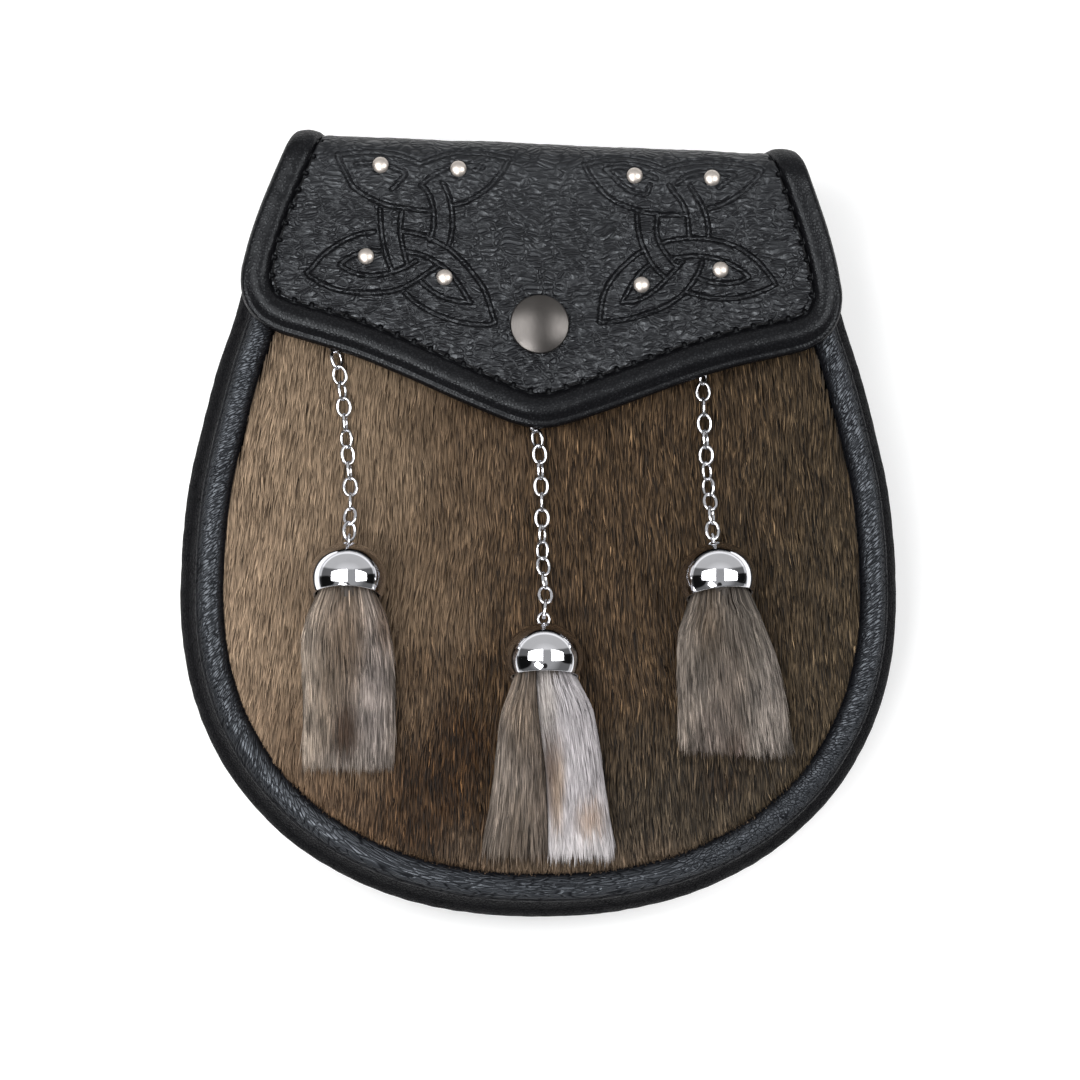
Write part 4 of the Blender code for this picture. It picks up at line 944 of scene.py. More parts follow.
def makeFlap():
    flat = flapGrid()
    rows, count = flat.shape[:2]
    grid = np.arange(rows * count).reshape(rows, count)
    flat = flat.reshape(-1, 2)
    quads = np.stack([grid[:-1, :-1], grid[:-1, 1:], grid[1:, 1:], grid[1:, :-1]], -1).reshape(-1, 4)
    top, faces = refined(flat, quads)
    lift, marks = flapFace(top)
    lining = flapPlace(*flat.T, np.full(len(flat), -flap["thick"] / 2))
    points = np.concatenate([flapPlace(*top.T, lift), lining])
    rim = np.concatenate([grid[0], grid[1:-1, -1], grid[-1, ::-1], grid[-2:0:-1, 0]])
    walls = np.stack([rim, np.roll(rim, -1), np.roll(rim, -1) + len(top), rim + len(top)], 1)
    faces += [quads[:, ::-1] + len(top), walls[:, ::-1]]
    piece = solidPiece("flapLeather", points, faces, flapLeather, "black_leather", "flap")
    for mark, values in marks.items():
        giveMark(piece, mark, "FLOAT", np.concatenate([values, np.zeros(len(flat))]))
    print("sporran: flap", len(piece.data.polygons), "faces")


def makeBinding():
    half = resample(flapHalf[flapHalf[:, 1] <= flapTopEnd + 0.01], binding["step"])
    half[-1] = flapHalf[-1]
    width, lowShare = bindingWidth(half[:, 1])
    sideFace, lowFace = np.array(binding["sideFace"]), np.array(binding["lowerFace"])
    faceRows = sideFace[None] + (lowFace - sideFace)[None] * (lowShare**0.7)[:, None, None]
    slotEnd = (width - flap["tuck"] - clearance) / width
    whole = np.ones_like(width)
    upper, lower = binding["slot"]
    slotRows = [(whole, upper), (slotEnd, upper), (slotEnd, lower), (whole, lower)]
    slotRows = np.stack([np.stack([share, whole * height], 1) for share, height in slotRows], 1)
    section = np.concatenate([faceRows, slotRows], 1)
    flat = np.stack([insetEdge(half, column * width) for column in section[:, :, 0].T], 1)
    flat = np.concatenate([flat, flat[-2::-1] * (-1.0, 1.0)])
    lift = np.concatenate([section[:, :, 1], section[-2::-1, :, 1]])
    wave = binding["wave"] * (ripple(flat, 14.0, 61) + 0.6 * ripple(flat, 4.0, 62))
    lift = lift + np.clip(lift - 1.0, 0, 1) * wave
    deep, reach = binding["pull"]
    isFace = np.arange(section.shape[1]) < len(sideFace)
    lift = lift - deep * bellCurve(fromStitches(flat.reshape(-1, 2)).reshape(lift.shape), reach) * isFace
    points = flapPlace(flat[..., 0], flat[..., 1], lift)
    faces = sweepFaces(*lift.shape)
    solidPiece("flapBindingLeather", points, faces, bindingLeather, "black_leather", "flap_binding")


threadLook = {
    "radius": 0.27, "sides": 6,
    "along": (0.0, 0.08, 0.25, 0.5, 0.75, 0.92, 1.0),
    "rise": (-0.55, -0.12, 0.1, 0.16, 0.1, -0.12, -0.55),
    "size": (0.7, 0.95, 1.0, 1.0, 1.0, 0.95, 0.7),
    "flapLift": 1.35, "flapGap": 0.1,  # height over the flap's middle, share of the pitch left at each end
}


def threadPiece(name, starts, ends, ups):  # stitches from start to end, dipping into the leather at both
    run = ends - starts
    way = unit(run)
    side = unit(np.cross(way, ups))
    up = np.cross(side, way)
    share, rise, size = (np.array(threadLook[key]) for key in ("along", "rise", "size"))
    centre = starts[:, None] + run[:, None] * share[None, :, None] + up[:, None] * rise[None, :, None]
    angle = 2 * pi * np.arange(threadLook["sides"]) / threadLook["sides"]
    ring = (side[:, None, None] * np.cos(angle)[None, None, :, None]
            + up[:, None, None] * np.sin(angle)[None, None, :, None]) * threadLook["radius"]
    points = centre[:, :, None] + ring * size[None, :, None, None]
    first = (np.arange(len(starts)) * len(share) * threadLook["sides"])[:, None, None]
    oneStitch = sweepFaces(len(share), threadLook["sides"])
    faces = [(rows[None] + first).reshape(-1, rows.shape[1]) for rows in oneStitch]
    solidPiece(name, points, faces, threadFinish, "black_leather")


def makeFlapStitches():
    lift = np.full(len(stitchSpots), threadLook["flapLift"])
    spots = flapPlace(*stitchSpots.T, lift)
    ups = unit(flapPlace(*stitchSpots.T, lift + 1) - spots)
    run, gap = spots[1:] - spots[:-1], threadLook["flapGap"]
    threadPiece("flapStitches", spots[:-1] + run * gap, spots[:-1] + run * (1 - gap), ups[:-1])


makeFlap()
makeBinding()
makeFlapStitches()

# Back: belt loops and stitching

print("sporran: back")

beltLoop = {
    "x": 38.0, "halfWidth": 10.0, "endsY": (26.0, 74.0), "tab": 7.0, "rise": 6.0, "thick": 1.9,
    "top": 6.7,  # of its sewn ends, which lie against the back
    "rub": 0.35,  # how far its edges are rubbed round
    "wave": (0.1, 9.0),
    "rows": 97, "columns": 15,
}
backStitch = {
    "pitch": 3.2, "length": 2.3, "inset": 1.6,
    "stripRows": (3.0, 10.0), "stripHalf": 53.0,  # rows along the flap's strip: distance from its end, reach
    "clear": 0.02,
}


def makeBeltLoop(name, node, x):
    low, high = beltLoop["endsY"]
    tab, rise, thick = beltLoop["tab"], beltLoop["rise"], beltLoop["thick"]
    sewn = beltLoop["top"] - thick
    y = np.linspace(low, high, beltLoop["rows"])
    bends = [low + tab, low + tab + rise, high - tab - rise, high - tab]
    outerZ = np.interp(y, bends, [sewn, 0.0, 0.0, sewn])
    outerZ = np.convolve(np.pad(outerZ, 2, mode="edge"), np.ones(5) / 5, "valid")  # its bends are soft
    side = np.linspace(-1, 1, beltLoop["columns"])
    across = np.concatenate([side, side[::-1]])
    inner = np.arange(len(across)) >= len(side)
    rounding = beltLoop["rub"] * np.abs(across) ** 14
    lift = inner * thick + np.where(inner, -rounding, rounding)
    points = np.stack(np.broadcast_arrays(x + beltLoop["halfWidth"] * across, y[:, None],
                                          outerZ[:, None] + lift[None, :]), -1)
    swell, size = beltLoop["wave"]
    wave = swell * ripple(points[..., :2], size, 71) * np.clip(points[..., 2], 0, 1)
    points[..., 2] = np.maximum(points[..., 2] + wave, 0.0)
    solidPiece(name, points, sweepFaces(len(y), len(across)), bodyLeather, "black_leather", node)


def stitchRow(start, end, pitch, length):
    count = max(int(np.linalg.norm(end - start) // pitch), 1)
    way = unit(end - start)
    middles = start + (end - start) * ((np.arange(count) + 0.5) / count)[:, None]
    return middles - way * length / 2, middles + way * length / 2


def makeBackStitches():
    seams = []  # a box on each sewn end of the loops, then rows along the flap's strip
    outerZ = beltLoop["top"] - beltLoop["thick"] - backStitch["clear"]
    inset = backStitch["inset"]
    for x in (-beltLoop["x"], beltLoop["x"]):
        for low in (beltLoop["endsY"][0], beltLoop["endsY"][1] - beltLoop["tab"]):
            left, right = x - beltLoop["halfWidth"] + inset, x + beltLoop["halfWidth"] - inset
            near, far = low + inset, low + beltLoop["tab"] - inset
            box = [(left, near), (right, near), (right, far), (left, far)]
            box = np.array([(*corner, outerZ) for corner in box])
            seams += zip(box, np.roll(box, -1, 0))
    for past in backStitch["stripRows"]:
        across = np.array([-backStitch["stripHalf"], backStitch["stripHalf"]])
        height = flap["thick"] / 2 + backStitch["clear"]
        seams.append(flapPlace(across, np.full(2, flapRearStart + past), np.full(2, height)))
    rows = [stitchRow(start, end, backStitch["pitch"], backStitch["length"]) for start, end in seams]
    starts, ends = (np.concatenate(part) for part in zip(*rows))
    threadPiece("backStitches", starts, ends, np.tile((0.0, 0.0, -1.0), (len(starts), 1)))


makeBeltLoop("beltLoopLeft", "belt_loop_left", -beltLoop["x"])
makeBeltLoop("beltLoopRight", "belt_loop_right", beltLoop["x"])
makeBackStitches()

# Metal

print("sporran: metal")


sharpAngle = radians(50)  # edges turned more than this are rounded, or stay sharp


def applyModifier(piece, name, kind, **settings):
    modifier = piece.modifiers.new(name, kind)
    for key, value in settings.items():
        setattr(modifier, key, value)
    bpy.ops.object.modifier_apply(modifier=modifier.name)


def copyOf(pattern, name):  # with its own mesh
    copy = pattern.copy()
    copy.data = pattern.data.copy()
    copy.name = copy.data.name = name
    scene.collection.objects.link(copy)
    return copy


def dress(piece, material, sharpFrom=None):  # without an angle every edge is smooth
    piece.data.materials.clear()
    piece.data.materials.append(material)
    piece.data.shade_smooth()
    if sharpFrom:
        piece.data.set_sharp_from_angle(angle=sharpFrom)


def domeCap(name, look, material):  # a turned cap: part of a sphere, rim and flat back
    radius, height, rim, reach = look["radius"], look["height"], look["rim"], look["reach"]
    selectNothing()
    bpy.ops.mesh.primitive_uv_sphere_add(segments=look["sides"], ring_count=look["sides"], radius=1.0)
    cap = bpy.context.object
    cap.name = cap.data.name = name
    bpy.ops.object.mode_set(mode="EDIT")
    bpy.ops.mesh.select_all(action="SELECT")
    bpy.ops.mesh.bisect(plane_co=(0, 0, cos(reach)), plane_no=(0, 0, 1), clear_inner=True, use_fill=False)
    bpy.ops.mesh.select_all(action="SELECT")
    bpy.ops.transform.translate(value=(0, 0, -cos(reach)))
    wide, high = radius / sin(reach), (height - rim) / (1 - cos(reach))
    bpy.ops.transform.resize(value=(wide, wide, high), center_override=(0, 0, 0))
    bpy.ops.transform.translate(value=(0, 0, rim))
    bpy.ops.mesh.select_all(action="DESELECT")
    bpy.ops.mesh.select_mode(type="EDGE")
    bpy.ops.mesh.select_non_manifold()
    for down, narrower in ((-rim, 0.93), (0, 0.5)):  # down the rim, then inwards on the flat back
        bpy.ops.mesh.extrude_region_move(TRANSFORM_OT_translate={"value": (0, 0, down)})
        bpy.ops.transform.resize(value=(narrower, narrower, 1.0), center_override=(0, 0, 0))
    bpy.ops.mesh.edge_face_add()
    bpy.ops.mesh.select_all(action="SELECT")
    bpy.ops.mesh.normals_make_consistent(inside=False)
    bpy.ops.object.mode_set(mode="OBJECT")
    if look["roundEdge"]:
        applyModifier(cap, "rounded", "BEVEL", width=look["roundEdge"], segments=4, limit_method="ANGLE",
                      angle_limit=sharpAngle)
    dress(cap, material, sharpAngle)
    return cap


# reach: how much of the sphere's top the cap is, as an angle from its axis; at: (across, along) on the flap
capLook = {"radius": 8.05, "height": 2.6, "rim": 1.1, "reach": radians(30), "sides": 72, "roundEdge": 0.55,
           "at": (-0.6, 51.6)}
studLook = {"radius": 2.15, "height": 1.15, "rim": 0.25, "reach": radians(60), "sides": 28, "roundEdge": 0.0,
            "at": [(23.4, 92.2), (44.0, 92.4), (47.0, 68.0), (26.1, 63.2)]}  # and mirrored


def seatOnFlap(piece, place, slotName, node):
    spot = flapPlace(*np.array(place)[:, None], np.array([flap["thick"] / 2 + clearance]))[0]
    placeMesh(piece, Matrix.Translation(Vector(spot)))
    settle(piece, slotName, node)


def makeStuds():
    places = [(-across, along) for across, along in studLook["at"]] + studLook["at"]
    pattern = domeCap("studDome1", studLook, studSilver)
    studs = [pattern] + [copyOf(pattern, f"studDome{number}") for number in range(2, len(places) + 1)]
    for number, (stud, place) in enumerate(zip(studs, places), 1):
        seatOnFlap(stud, place, "chrome", f"stud_{number}")


seatOnFlap(domeCap("snapCapDome", capLook, capGunmetal), capLook["at"], "gunmetal", "snap_cap")
makeStuds()
for name in ("snap_post", "chain_anchor_left", "chain_anchor_centre", "chain_anchor_right"):
    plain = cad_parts[name].data.materials
    plain.clear()
    plain.append(plainSteel)

# Hangings: chain, bell and tassel

print("sporran: hangings")

bell = {
    "widest": (10.2, 5.0),  # radius and height above the mouth
    "profile": [(8.93, 0.0), (9.9, 2.5), (10.2, 5.0), (9.8, 7.6), (8.5, 10.3), (6.4, 12.4), (3.3, 14.0),
                (0.0, 14.5)],
    "inwards": 1.09,  # stretch of the half below the widest ring
    "wall": 0.8,
    "rim": 0.22,
    "eyeRadius": 1.5,
    "eyeWire": 0.38,
    "eyeStretch": 1.06,
    "eyeHeight": 15.6,
    "linkInEye": 0.1,  # the chain starts this far above the eye's middle
}
link = {"length": 5.84, "width": 4.4, "wire": 0.5, "bite": 0.43}
link["pitch"] = link["length"] - 4 * link["wire"] + link["bite"]
chain = {
    "lift": 2.45,  # its middle over the fur
    "lowLift": 1.9,  # and under the flap
    "lowRun": (6.0, 2.0),  # it sinks between these distances before the flap's edge
    "rise": 16.0,  # it climbs to the bell's eye over this length
}
# mouth: middle of the bell's mouth; coveredFrom: the flap covers the chain above this height;
# way: the chain's course as (along, across); rolls: how far each link is turned over, in degrees
hangings = {
    "Left": {
        "mouth": (-51.9, -20.6), "dip": 16.5, "turn": -1.5, "hairTurn": 0.0, "flatEye": False,
        "coveredFrom": 43.7,
        "way": [(1.2, -51.2), (9.7, -51.2), (18.2, -52.0), (31.4, -53.1), (38.1, -53.9), (43.7, -55.2),
                (57.0, -57.2)],
        "rolls": (30, -30, 88, 0, 78, 25, -38, 80, 0, 62, -10, 42, -52, 5),
    },
    "Centre": {
        "mouth": (-0.3, -41.6), "dip": 10.5, "turn": 0.0, "hairTurn": 0.0, "flatEye": True,
        "coveredFrom": 24.3,
        "way": [(-20.0, 0.3), (-9.7, -0.3), (2.5, -0.5), (11.5, -0.8), (20.3, -1.3), (24.3, -2.2),
                (40.0, -4.0)],
        "rolls": (88, 8, 72, 20, -40, 62, 0, 88, 2, 68, 10, -45, 45, -5),
    },
    "Right": {
        "mouth": (45.9, -20.3), "dip": 13.5, "turn": 5.5, "hairTurn": -2.0, "flatEye": False,
        "coveredFrom": 37.5,
        "way": [(5.7, 44.1), (14.5, 43.3), (19.2, 43.3), (27.7, 42.7), (37.0, 42.5), (54.0, 42.5)],
        "rolls": (12, 66, 12, -42, 48, -8, 68, 2, 88, 0, 60, 5),
    },
}


def furZ(x, y):
    return float(furHeight(np.array([x, y], float)))


def bellFrame(hanging):  # origin at the middle of the mouth, Z along the bell's axis to its top
    dip, turn = radians(hanging["dip"]), radians(hanging["turn"])
    axis = Vector((-sin(turn) * cos(dip), cos(turn) * cos(dip), -sin(dip)))
    across = Vector((cos(turn), sin(turn), 0.0))
    out = across.cross(axis)
    x, y = hanging["mouth"]
    lowest = min(h * axis.z - r * cos(dip) for r, h in bell["profile"])
    z = furZ(x, y + bell["widest"][1]) + clearance - lowest
    return Matrix.Translation((x, y, z)) @ Matrix((across, -out, axis)).transposed().to_4x4()


def makeBell(side, hanging):
    selectNothing()
    bpy.ops.mesh.primitive_uv_sphere_add(segments=72, ring_count=48, radius=1.0)
    shell = bpy.context.object
    shell.name = shell.data.name = "bell" + side + "Chrome"
    radius, height = bell["widest"]
    top = bell["profile"][-1][1]
    mesh = shell.data
    bpy.ops.object.mode_set(mode="EDIT")
    bpy.ops.mesh.select_all(action="SELECT")
    bpy.ops.transform.resize(value=(radius, radius, top - height))
    bpy.ops.mesh.select_all(action="DESELECT")
    bpy.ops.object.mode_set(mode="OBJECT")
    z = np.empty(len(mesh.vertices) * 3, np.float32)
    mesh.vertices.foreach_get("co", z)
    mesh.vertices.foreach_set("select", z[2::3] < -0.01)
    bpy.ops.object.mode_set(mode="EDIT")
    bpy.ops.transform.resize(value=(1, 1, bell["inwards"]), center_override=(0, 0, 0))
    bpy.ops.mesh.select_all(action="SELECT")
    bpy.ops.transform.translate(value=(0, 0, height))
    bpy.ops.mesh.bisect(plane_co=(0, 0, 0), plane_no=(0, 0, 1), clear_inner=True, use_fill=False)
    bpy.ops.mesh.select_all(action="SELECT")
    bpy.ops.mesh.normals_make_consistent(inside=False)
    bpy.ops.object.mode_set(mode="OBJECT")
    applyModifier(shell, "wall", "SOLIDIFY", thickness=bell["wall"], offset=-1.0)
    applyModifier(shell, "rim", "BEVEL", width=bell["rim"], segments=3, limit_method="ANGLE",
                  angle_limit=sharpAngle)
    selectNothing()
    bpy.ops.mesh.primitive_torus_add(major_radius=bell["eyeRadius"], minor_radius=bell["eyeWire"],
                                     major_segments=32, minor_segments=12)
    eye = bpy.context.object
    bpy.ops.object.mode_set(mode="EDIT")
    bpy.ops.mesh.select_all(action="SELECT")
    bpy.ops.transform.resize(value=(1.0, bell["eyeStretch"], 1.0))
    bpy.ops.object.mode_set(mode="OBJECT")
    stand = Matrix.Rotation(pi / 2, 4, "X")
    roll = Matrix.Rotation(0.0 if hanging["flatEye"] else pi / 2, 4, "Z")
    eye.data.transform(Matrix.Translation((0, 0, bell["eyeHeight"])) @ roll @ stand)
    shell.select_set(True)
    bpy.context.view_layer.objects.active = shell
    bpy.ops.object.join()
    dress(shell, bellChrome, radians(60))
    placeMesh(shell, bellFrame(hanging))
    settle(shell, "chrome", "bell_" + side.lower())


def eyeHole(hanging):
    return bellFrame(hanging) @ Vector((0.0, 0.0, bell["eyeHeight"] + bell["linkInEye"]))


def chainPoint(hanging, y):  # it climbs to the bell's eye and sinks under the flap
    start = eyeHole(hanging)
    x = float(smoothRow([(start.y, start.x), *hanging["way"]], y))
    far, near = chain["lowRun"]
    sunk = min(max((y - hanging["coveredFrom"] + far) / (far - near), 0.0), 1.0)
    rest = furZ(x, y) + chain["lift"] + (chain["lowLift"] - chain["lift"]) * sunk
    share = min(max((y - start.y) / chain["rise"], 0.0), 1.0)
    return Vector((x, y, start.z + (rest - start.z) * share * share * (3 - 2 * share)))


def march(hanging, start, reach):  # the next point of the chain at this distance
    low, high = start.y, start.y + reach + 0.1
    for _ in range(30):
        middle = (low + high) / 2
        if (chainPoint(hanging, middle) - start).length < reach:
            low = middle
        else:
            high = middle
    return chainPoint(hanging, high)


def linkPlaces(hanging):
    firstReach = link["length"] / 2 - link["wire"] - link["pitch"] / 2  # the first link hangs in the eye
    nodes = [march(hanging, eyeHole(hanging), firstReach)]
    for _ in hanging["rolls"]:
        nodes.append(march(hanging, nodes[-1], link["pitch"]))
    places = []
    for a, b, roll in zip(nodes, nodes[1:], hanging["rolls"]):
        along = (b - a).normalized()
        across = along.cross(Vector((0.0, 0.0, 1.0))).normalized()
        turned = Matrix((across, along, across.cross(along))).transposed().to_4x4()
        places.append(Matrix.Translation((a + b) / 2) @ turned @ Matrix.Rotation(radians(roll), 4, "Y"))
    return places


def makeLink():  # one oval link of round wire, bent from a circle
    selectNothing()
    bpy.ops.curve.primitive_bezier_circle_add(radius=1.0)
    wire = bpy.context.object
    bpy.ops.object.mode_set(mode="EDIT")
    bpy.ops.curve.select_all(action="SELECT")
    bpy.ops.transform.resize(value=(link["width"] / 2 - link["wire"], link["length"] / 2 - link["wire"], 1.0))
    bpy.ops.object.mode_set(mode="OBJECT")
    wire.data.bevel_depth = link["wire"]
    wire.data.bevel_resolution = 2
    wire.data.resolution_u = 7
    bpy.ops.object.convert(target="MESH")
    return bpy.context.object


def makeChains():
    pattern = makeLink()
    for side, hanging in hangings.items():
        links = []
        for place in linkPlaces(hanging):
            links.append(copyOf(pattern, "chain" + side + "Links"))
            placeMesh(links[-1], place)
        selectNothing()
        for one in links:
            one.select_set(True)
        whole = bpy.context.view_layer.objects.active = links[0]
        bpy.ops.object.join()
        dress(whole, chainChrome)
        turnOut(whole)
        settle(whole, "chrome", "chain_" + side.lower())
    bpy.data.objects.remove(pattern)


for side, hanging in hangings.items():
    makeBell(side, hanging)
makeChains()

# Tassels: hair on a grey core. Rows are (down from the bell's mouth, left edge, right edge).

tasselLook = {
    "blades": 14000,
    "length": (9.0, 17.0),
    "width": (0.22, 0.42),
    "rollSpread": radians(30),
    "endFill": (4.0, 0.6),  # reach from the end, share of the blades there
    "depths": (0.17, 0.07),  # of a blade's root and middle under its tip, as shares of the bundle
    "bow": 0.6,  # where along a blade its middle lies
    "widest": 0.42,  # level where the bundle is widest, as a share of its height
    "square": 2.6,  # 2 gives a round bundle, more a squarer one
    "core": {"rows": 24, "sides": 28, "start": -4.0, "across": 0.86, "up": 0.36,
             "end": [(6.0, 1.0), (4.0, 0.8), (3.0, 0.45)]},  # size against the distance from the lock's end
    "height": [(-6.0, -6.5, 6.5), (0.0, -7.6, 7.6), (3.0, -9.3, 6.6), (9.0, -10.9, 3.4), (20.0, -11.15, 0.0),
               (34.0, -11.15, -2.9), (50.0, -11.15, -6.1)],  # (down, lowest, highest) from the mouth's middle
}
tassels = {  # patches: (x, down, reach across, reach down, screen colour, strength)
    "Left": {"seed": 81, "locks": [{
        "edges": [(-6.0, -6.5, 6.5), (0.0, -7.6, 7.6), (3.0, -9.6, 9.4), (6.4, -10.7, 10.6),
                  (11.7, -11.5, 11.5), (17.0, -11.5, 12.3), (45.0, -11.4, 12.4)],
        "end": 45.5, "ragged": 0.8, "share": 1.0, "contrast": 1.0, "base": (111, 101, 92),
        "patches": [(-10.5, 26, 2.6, 22, (152, 139, 126), 2.2), (0, 10, 4, 10, (104, 87, 71), 1.8),
                    (7, 24, 4, 18, (134, 125, 121), 1.6), (-0.4, 33, 2.2, 5.5, (52, 36, 25), 7.0),
                    (2, 43, 6, 4, (164, 153, 144), 2.4), (-6, 20, 3, 14, (112, 98, 84), 1.2),
                    (9.5, 5, 2, 6, (100, 78, 60), 1.4)],
    }]},
    "Centre": {"seed": 82, "locks": [{
        "edges": [(-6.0, -6.5, -1.9), (0.0, -7.4, -2.1), (7.8, -10.6, -1.4), (17.0, -12.2, -0.2),
                  (26.1, -12.9, 0.7), (35.4, -14.0, 1.0), (44.4, -15.6, 1.5), (49.0, -16.2, 1.7)],
        "end": 47.5, "ragged": 1.2, "share": 0.46, "contrast": 1.0, "base": (112, 102, 94),
        "patches": [(-12, 24, 3, 26, (126, 116, 107), 1.4), (-8, 40, 6, 10, (96, 84, 72), 1.6),
                    (-6, 8, 4, 8, (108, 94, 80), 1.4), (0, 20, 2.4, 16, (92, 80, 70), 1.4)],
    }, {
        "edges": [(-6.0, -2.2, 6.5), (0.0, -2.6, 7.8), (1.9, -2.5, 9.4), (7.8, -2.0, 12.8),
                  (14.0, -1.0, 14.2), (19.0, -0.2, 15.0), (26.0, 0.8, 16.0), (38.0, 1.6, 17.6),
                  (44.4, 1.5, 18.8), (49.0, 1.4, 19.0)],
        "end": 48.0, "ragged": 1.0, "share": 0.54, "contrast": 0.34, "base": (178, 173, 175),
        "patches": [(1.4, 23, 1.5, 7, (84, 66, 52), 4.5), (3.4, 27, 1.3, 8, (158, 136, 114), 2.4),
                    (12, 35, 2.6, 3.6, (160, 138, 120), 2.2), (0, 6, 2, 8, (168, 160, 152), 1.2),
                    (8, 45, 10, 5, (208, 204, 204), 1.6)],
    }]},
    "Right": {"seed": 83, "locks": [{
        "edges": [(-6.0, -6.5, 6.5), (0.0, -7.4, 7.8), (1.3, -7.8, 8.4), (4.0, -8.5, 10.8),
                  (9.4, -10.2, 13.4), (14.5, -10.2, 15.6), (20.0, -9.8, 17.2), (25.0, -9.6, 18.6),
                  (35.0, -8.4, 20.2), (42.0, -7.8, 22.0)],
        "end": 41.5, "ragged": 1.0, "share": 1.0, "contrast": 1.0, "base": (96, 89, 82),
        "patches": [(-9, 24, 3, 20, (126, 116, 107), 1.6), (15, 26, 4, 14, (138, 129, 122), 1.8),
                    (-3, 6, 3, 6, (96, 82, 68), 1.4), (5, 38, 2.4, 4, (74, 58, 46), 1.6),
                    (6.5, 41, 1.2, 2.5, (176, 156, 150), 3.4), (0, 34, 6, 8, (118, 106, 99), 1.0),
                    (3, 20, 4, 12, (104, 93, 84), 1.0)],
    }]},
}


def columnOf(rows, k, at):
    return smoothRow([(row[0], row[k]) for row in rows], at)


def tasselFrame(hanging):
    place = bellFrame(hanging).translation
    return np.array(Matrix.Translation(place) @ Matrix.Rotation(radians(hanging["hairTurn"]), 4, "Z"))


def tasselSpot(look, seat, down, across, up):  # across -1 to 1, up 0 to 1, within the bundle
    left, right = columnOf(look["edges"], 1, down), columnOf(look["edges"], 2, down)
    low, high = columnOf(tasselLook["height"], 1, down), columnOf(tasselLook["height"], 2, down)
    x = (left + right) / 2 + (right - left) / 2 * across
    bulge = (1 - np.abs(np.clip(across, -1, 1)) ** tasselLook["square"]) ** 0.5
    middle = low + (high - low) * tasselLook["widest"]
    crest = middle + (high - middle) * bulge
    base = middle - (middle - low) * bulge
    z = base + (crest - base) * up
    local = np.stack([x, -down, z, np.ones_like(x)], -1)
    return (local @ seat.T)[..., :3], x


def lockCore(look, seat):
    core = tasselLook["core"]
    ends = look["end"] - np.array([back for back, _ in core["end"]])
    down = np.append(np.linspace(core["start"], ends[0], core["rows"]), ends[1:])
    angle = 2 * pi * np.arange(core["sides"]) / core["sides"]
    thick = np.interp(down, ends, [size for _, size in core["end"]])[:, None]
    ring = core["across"] * np.cos(angle) * thick
    up = 0.5 + core["up"] * np.sin(angle) * thick
    points, _ = tasselSpot(look, seat, np.broadcast_to(down[:, None], ring.shape), ring, up)
    return points.reshape(-1, 3), sweepFaces(len(down), len(angle))


def lockHair(look, seat, draw):  # roots, middles, tips, sideways, widths and colours of one lock
    count = int(tasselLook["blades"] * look["share"])
    end, wide = look["end"], look["edges"][-1][2] - look["edges"][-1][1]
    length = draw.uniform(*tasselLook["length"], count)
    stop = end - (end - 5.0) * draw.uniform(0, 1, count) ** 1.5 + draw.normal(0, look["ragged"], count)
    start = np.clip(stop - length, -3.0, None)
    across = draw.uniform(-1, 1, count)
    top = 1 - 0.9 * draw.uniform(0, 1, count) ** 4
    fillReach, fillShare = tasselLook["endFill"]
    filling = (stop > end - fillReach) & (draw.uniform(0, 1, count) < fillShare)
    top = np.where(filling, draw.uniform(0.03, 1, count), top)  # hair all through the cut end
    strand = across * wide / 2
    clump = 0.35 * np.sin(strand * 2.1 + 1.3 * np.sin(strand * 0.7) + start * 0.12)
    clump = (clump + 0.2 * np.sin(strand * 5.3 - start * 0.2)) * look["contrast"] * 2 / wide
    drift = draw.normal(0, 0.03, count)
    lift = draw.normal(0, 0.02, count)
    down = start + (stop - start) * tasselLook["bow"]
    rootDepth, middleDepth = tasselLook["depths"]
    sway = across + clump * 0.4 + drift * 0.5
    roots, _ = tasselSpot(look, seat, start, across * 0.97, top - rootDepth)
    middles, x = tasselSpot(look, seat, down, sway, top - middleDepth + lift * 0.5)
    tips, _ = tasselSpot(look, seat, stop, across + clump + drift, top + lift)
    tips[:, 2] += np.clip(draw.normal(0, 0.12, count), -0.3, 0.3)
    roll = draw.normal(0, tasselLook["rollSpread"], count) + np.arcsin(across) * 0.7
    sideways = np.stack([np.cos(roll), np.zeros(count), -np.sin(roll)], 1)
    widths = draw.uniform(*tasselLook["width"], count)
    colour = blended(np.stack([x, down], 1), look["patches"], look["base"], 0.6)
    strands = ripple(np.stack([strand, stop * 0.07], 1), 1.1, len(look["edges"]), 24)
    # the hair's own uneven tone, its dark strands made stronger as painted shade between the strands; hair
    # low in the bundle is darker as painted shade
    uneven = draw.normal(0, 0.28, count) + 0.6 * strands - 0.12 * np.sin(strand * 2.1 + start * 0.12)
    uneven = np.where(uneven < 0, 1.25, 0.8) * uneven  # dark strands stand out more than light ones
    shade = np.exp(look["contrast"] * uneven) * (0.75 + 0.3 * top)  # darker low in the bundle
    return roots, middles, tips, sideways, widths, colour * shade[:, None]


def makeTassel(side, hanging, look):
    draw = np.random.default_rng(look["seed"])
    seat = tasselFrame(hanging)
    points, faces, first = [], [], 0
    for lock in look["locks"]:
        lockPoints, lockFaces = lockCore(lock, seat)
        points.append(lockPoints)
        faces += [rows + first for rows in lockFaces]
        first += len(lockPoints)
    points = np.concatenate(points)
    solidPiece("tassel" + side + "Core", points, faces, coreGrey, "grey_fur", "tassel_" + side.lower())
    hair = [np.concatenate(rows) for rows in zip(*(lockHair(lock, seat, draw) for lock in look["locks"]))]
    piece = bladePiece("tassel" + side + "Hair", *hair, tasselHair)
    settle(piece, "grey_fur")


for side, look in tassels.items():
    makeTassel(side, hangings[side], look)

# Floor, light and camera

print("sporran: studio")

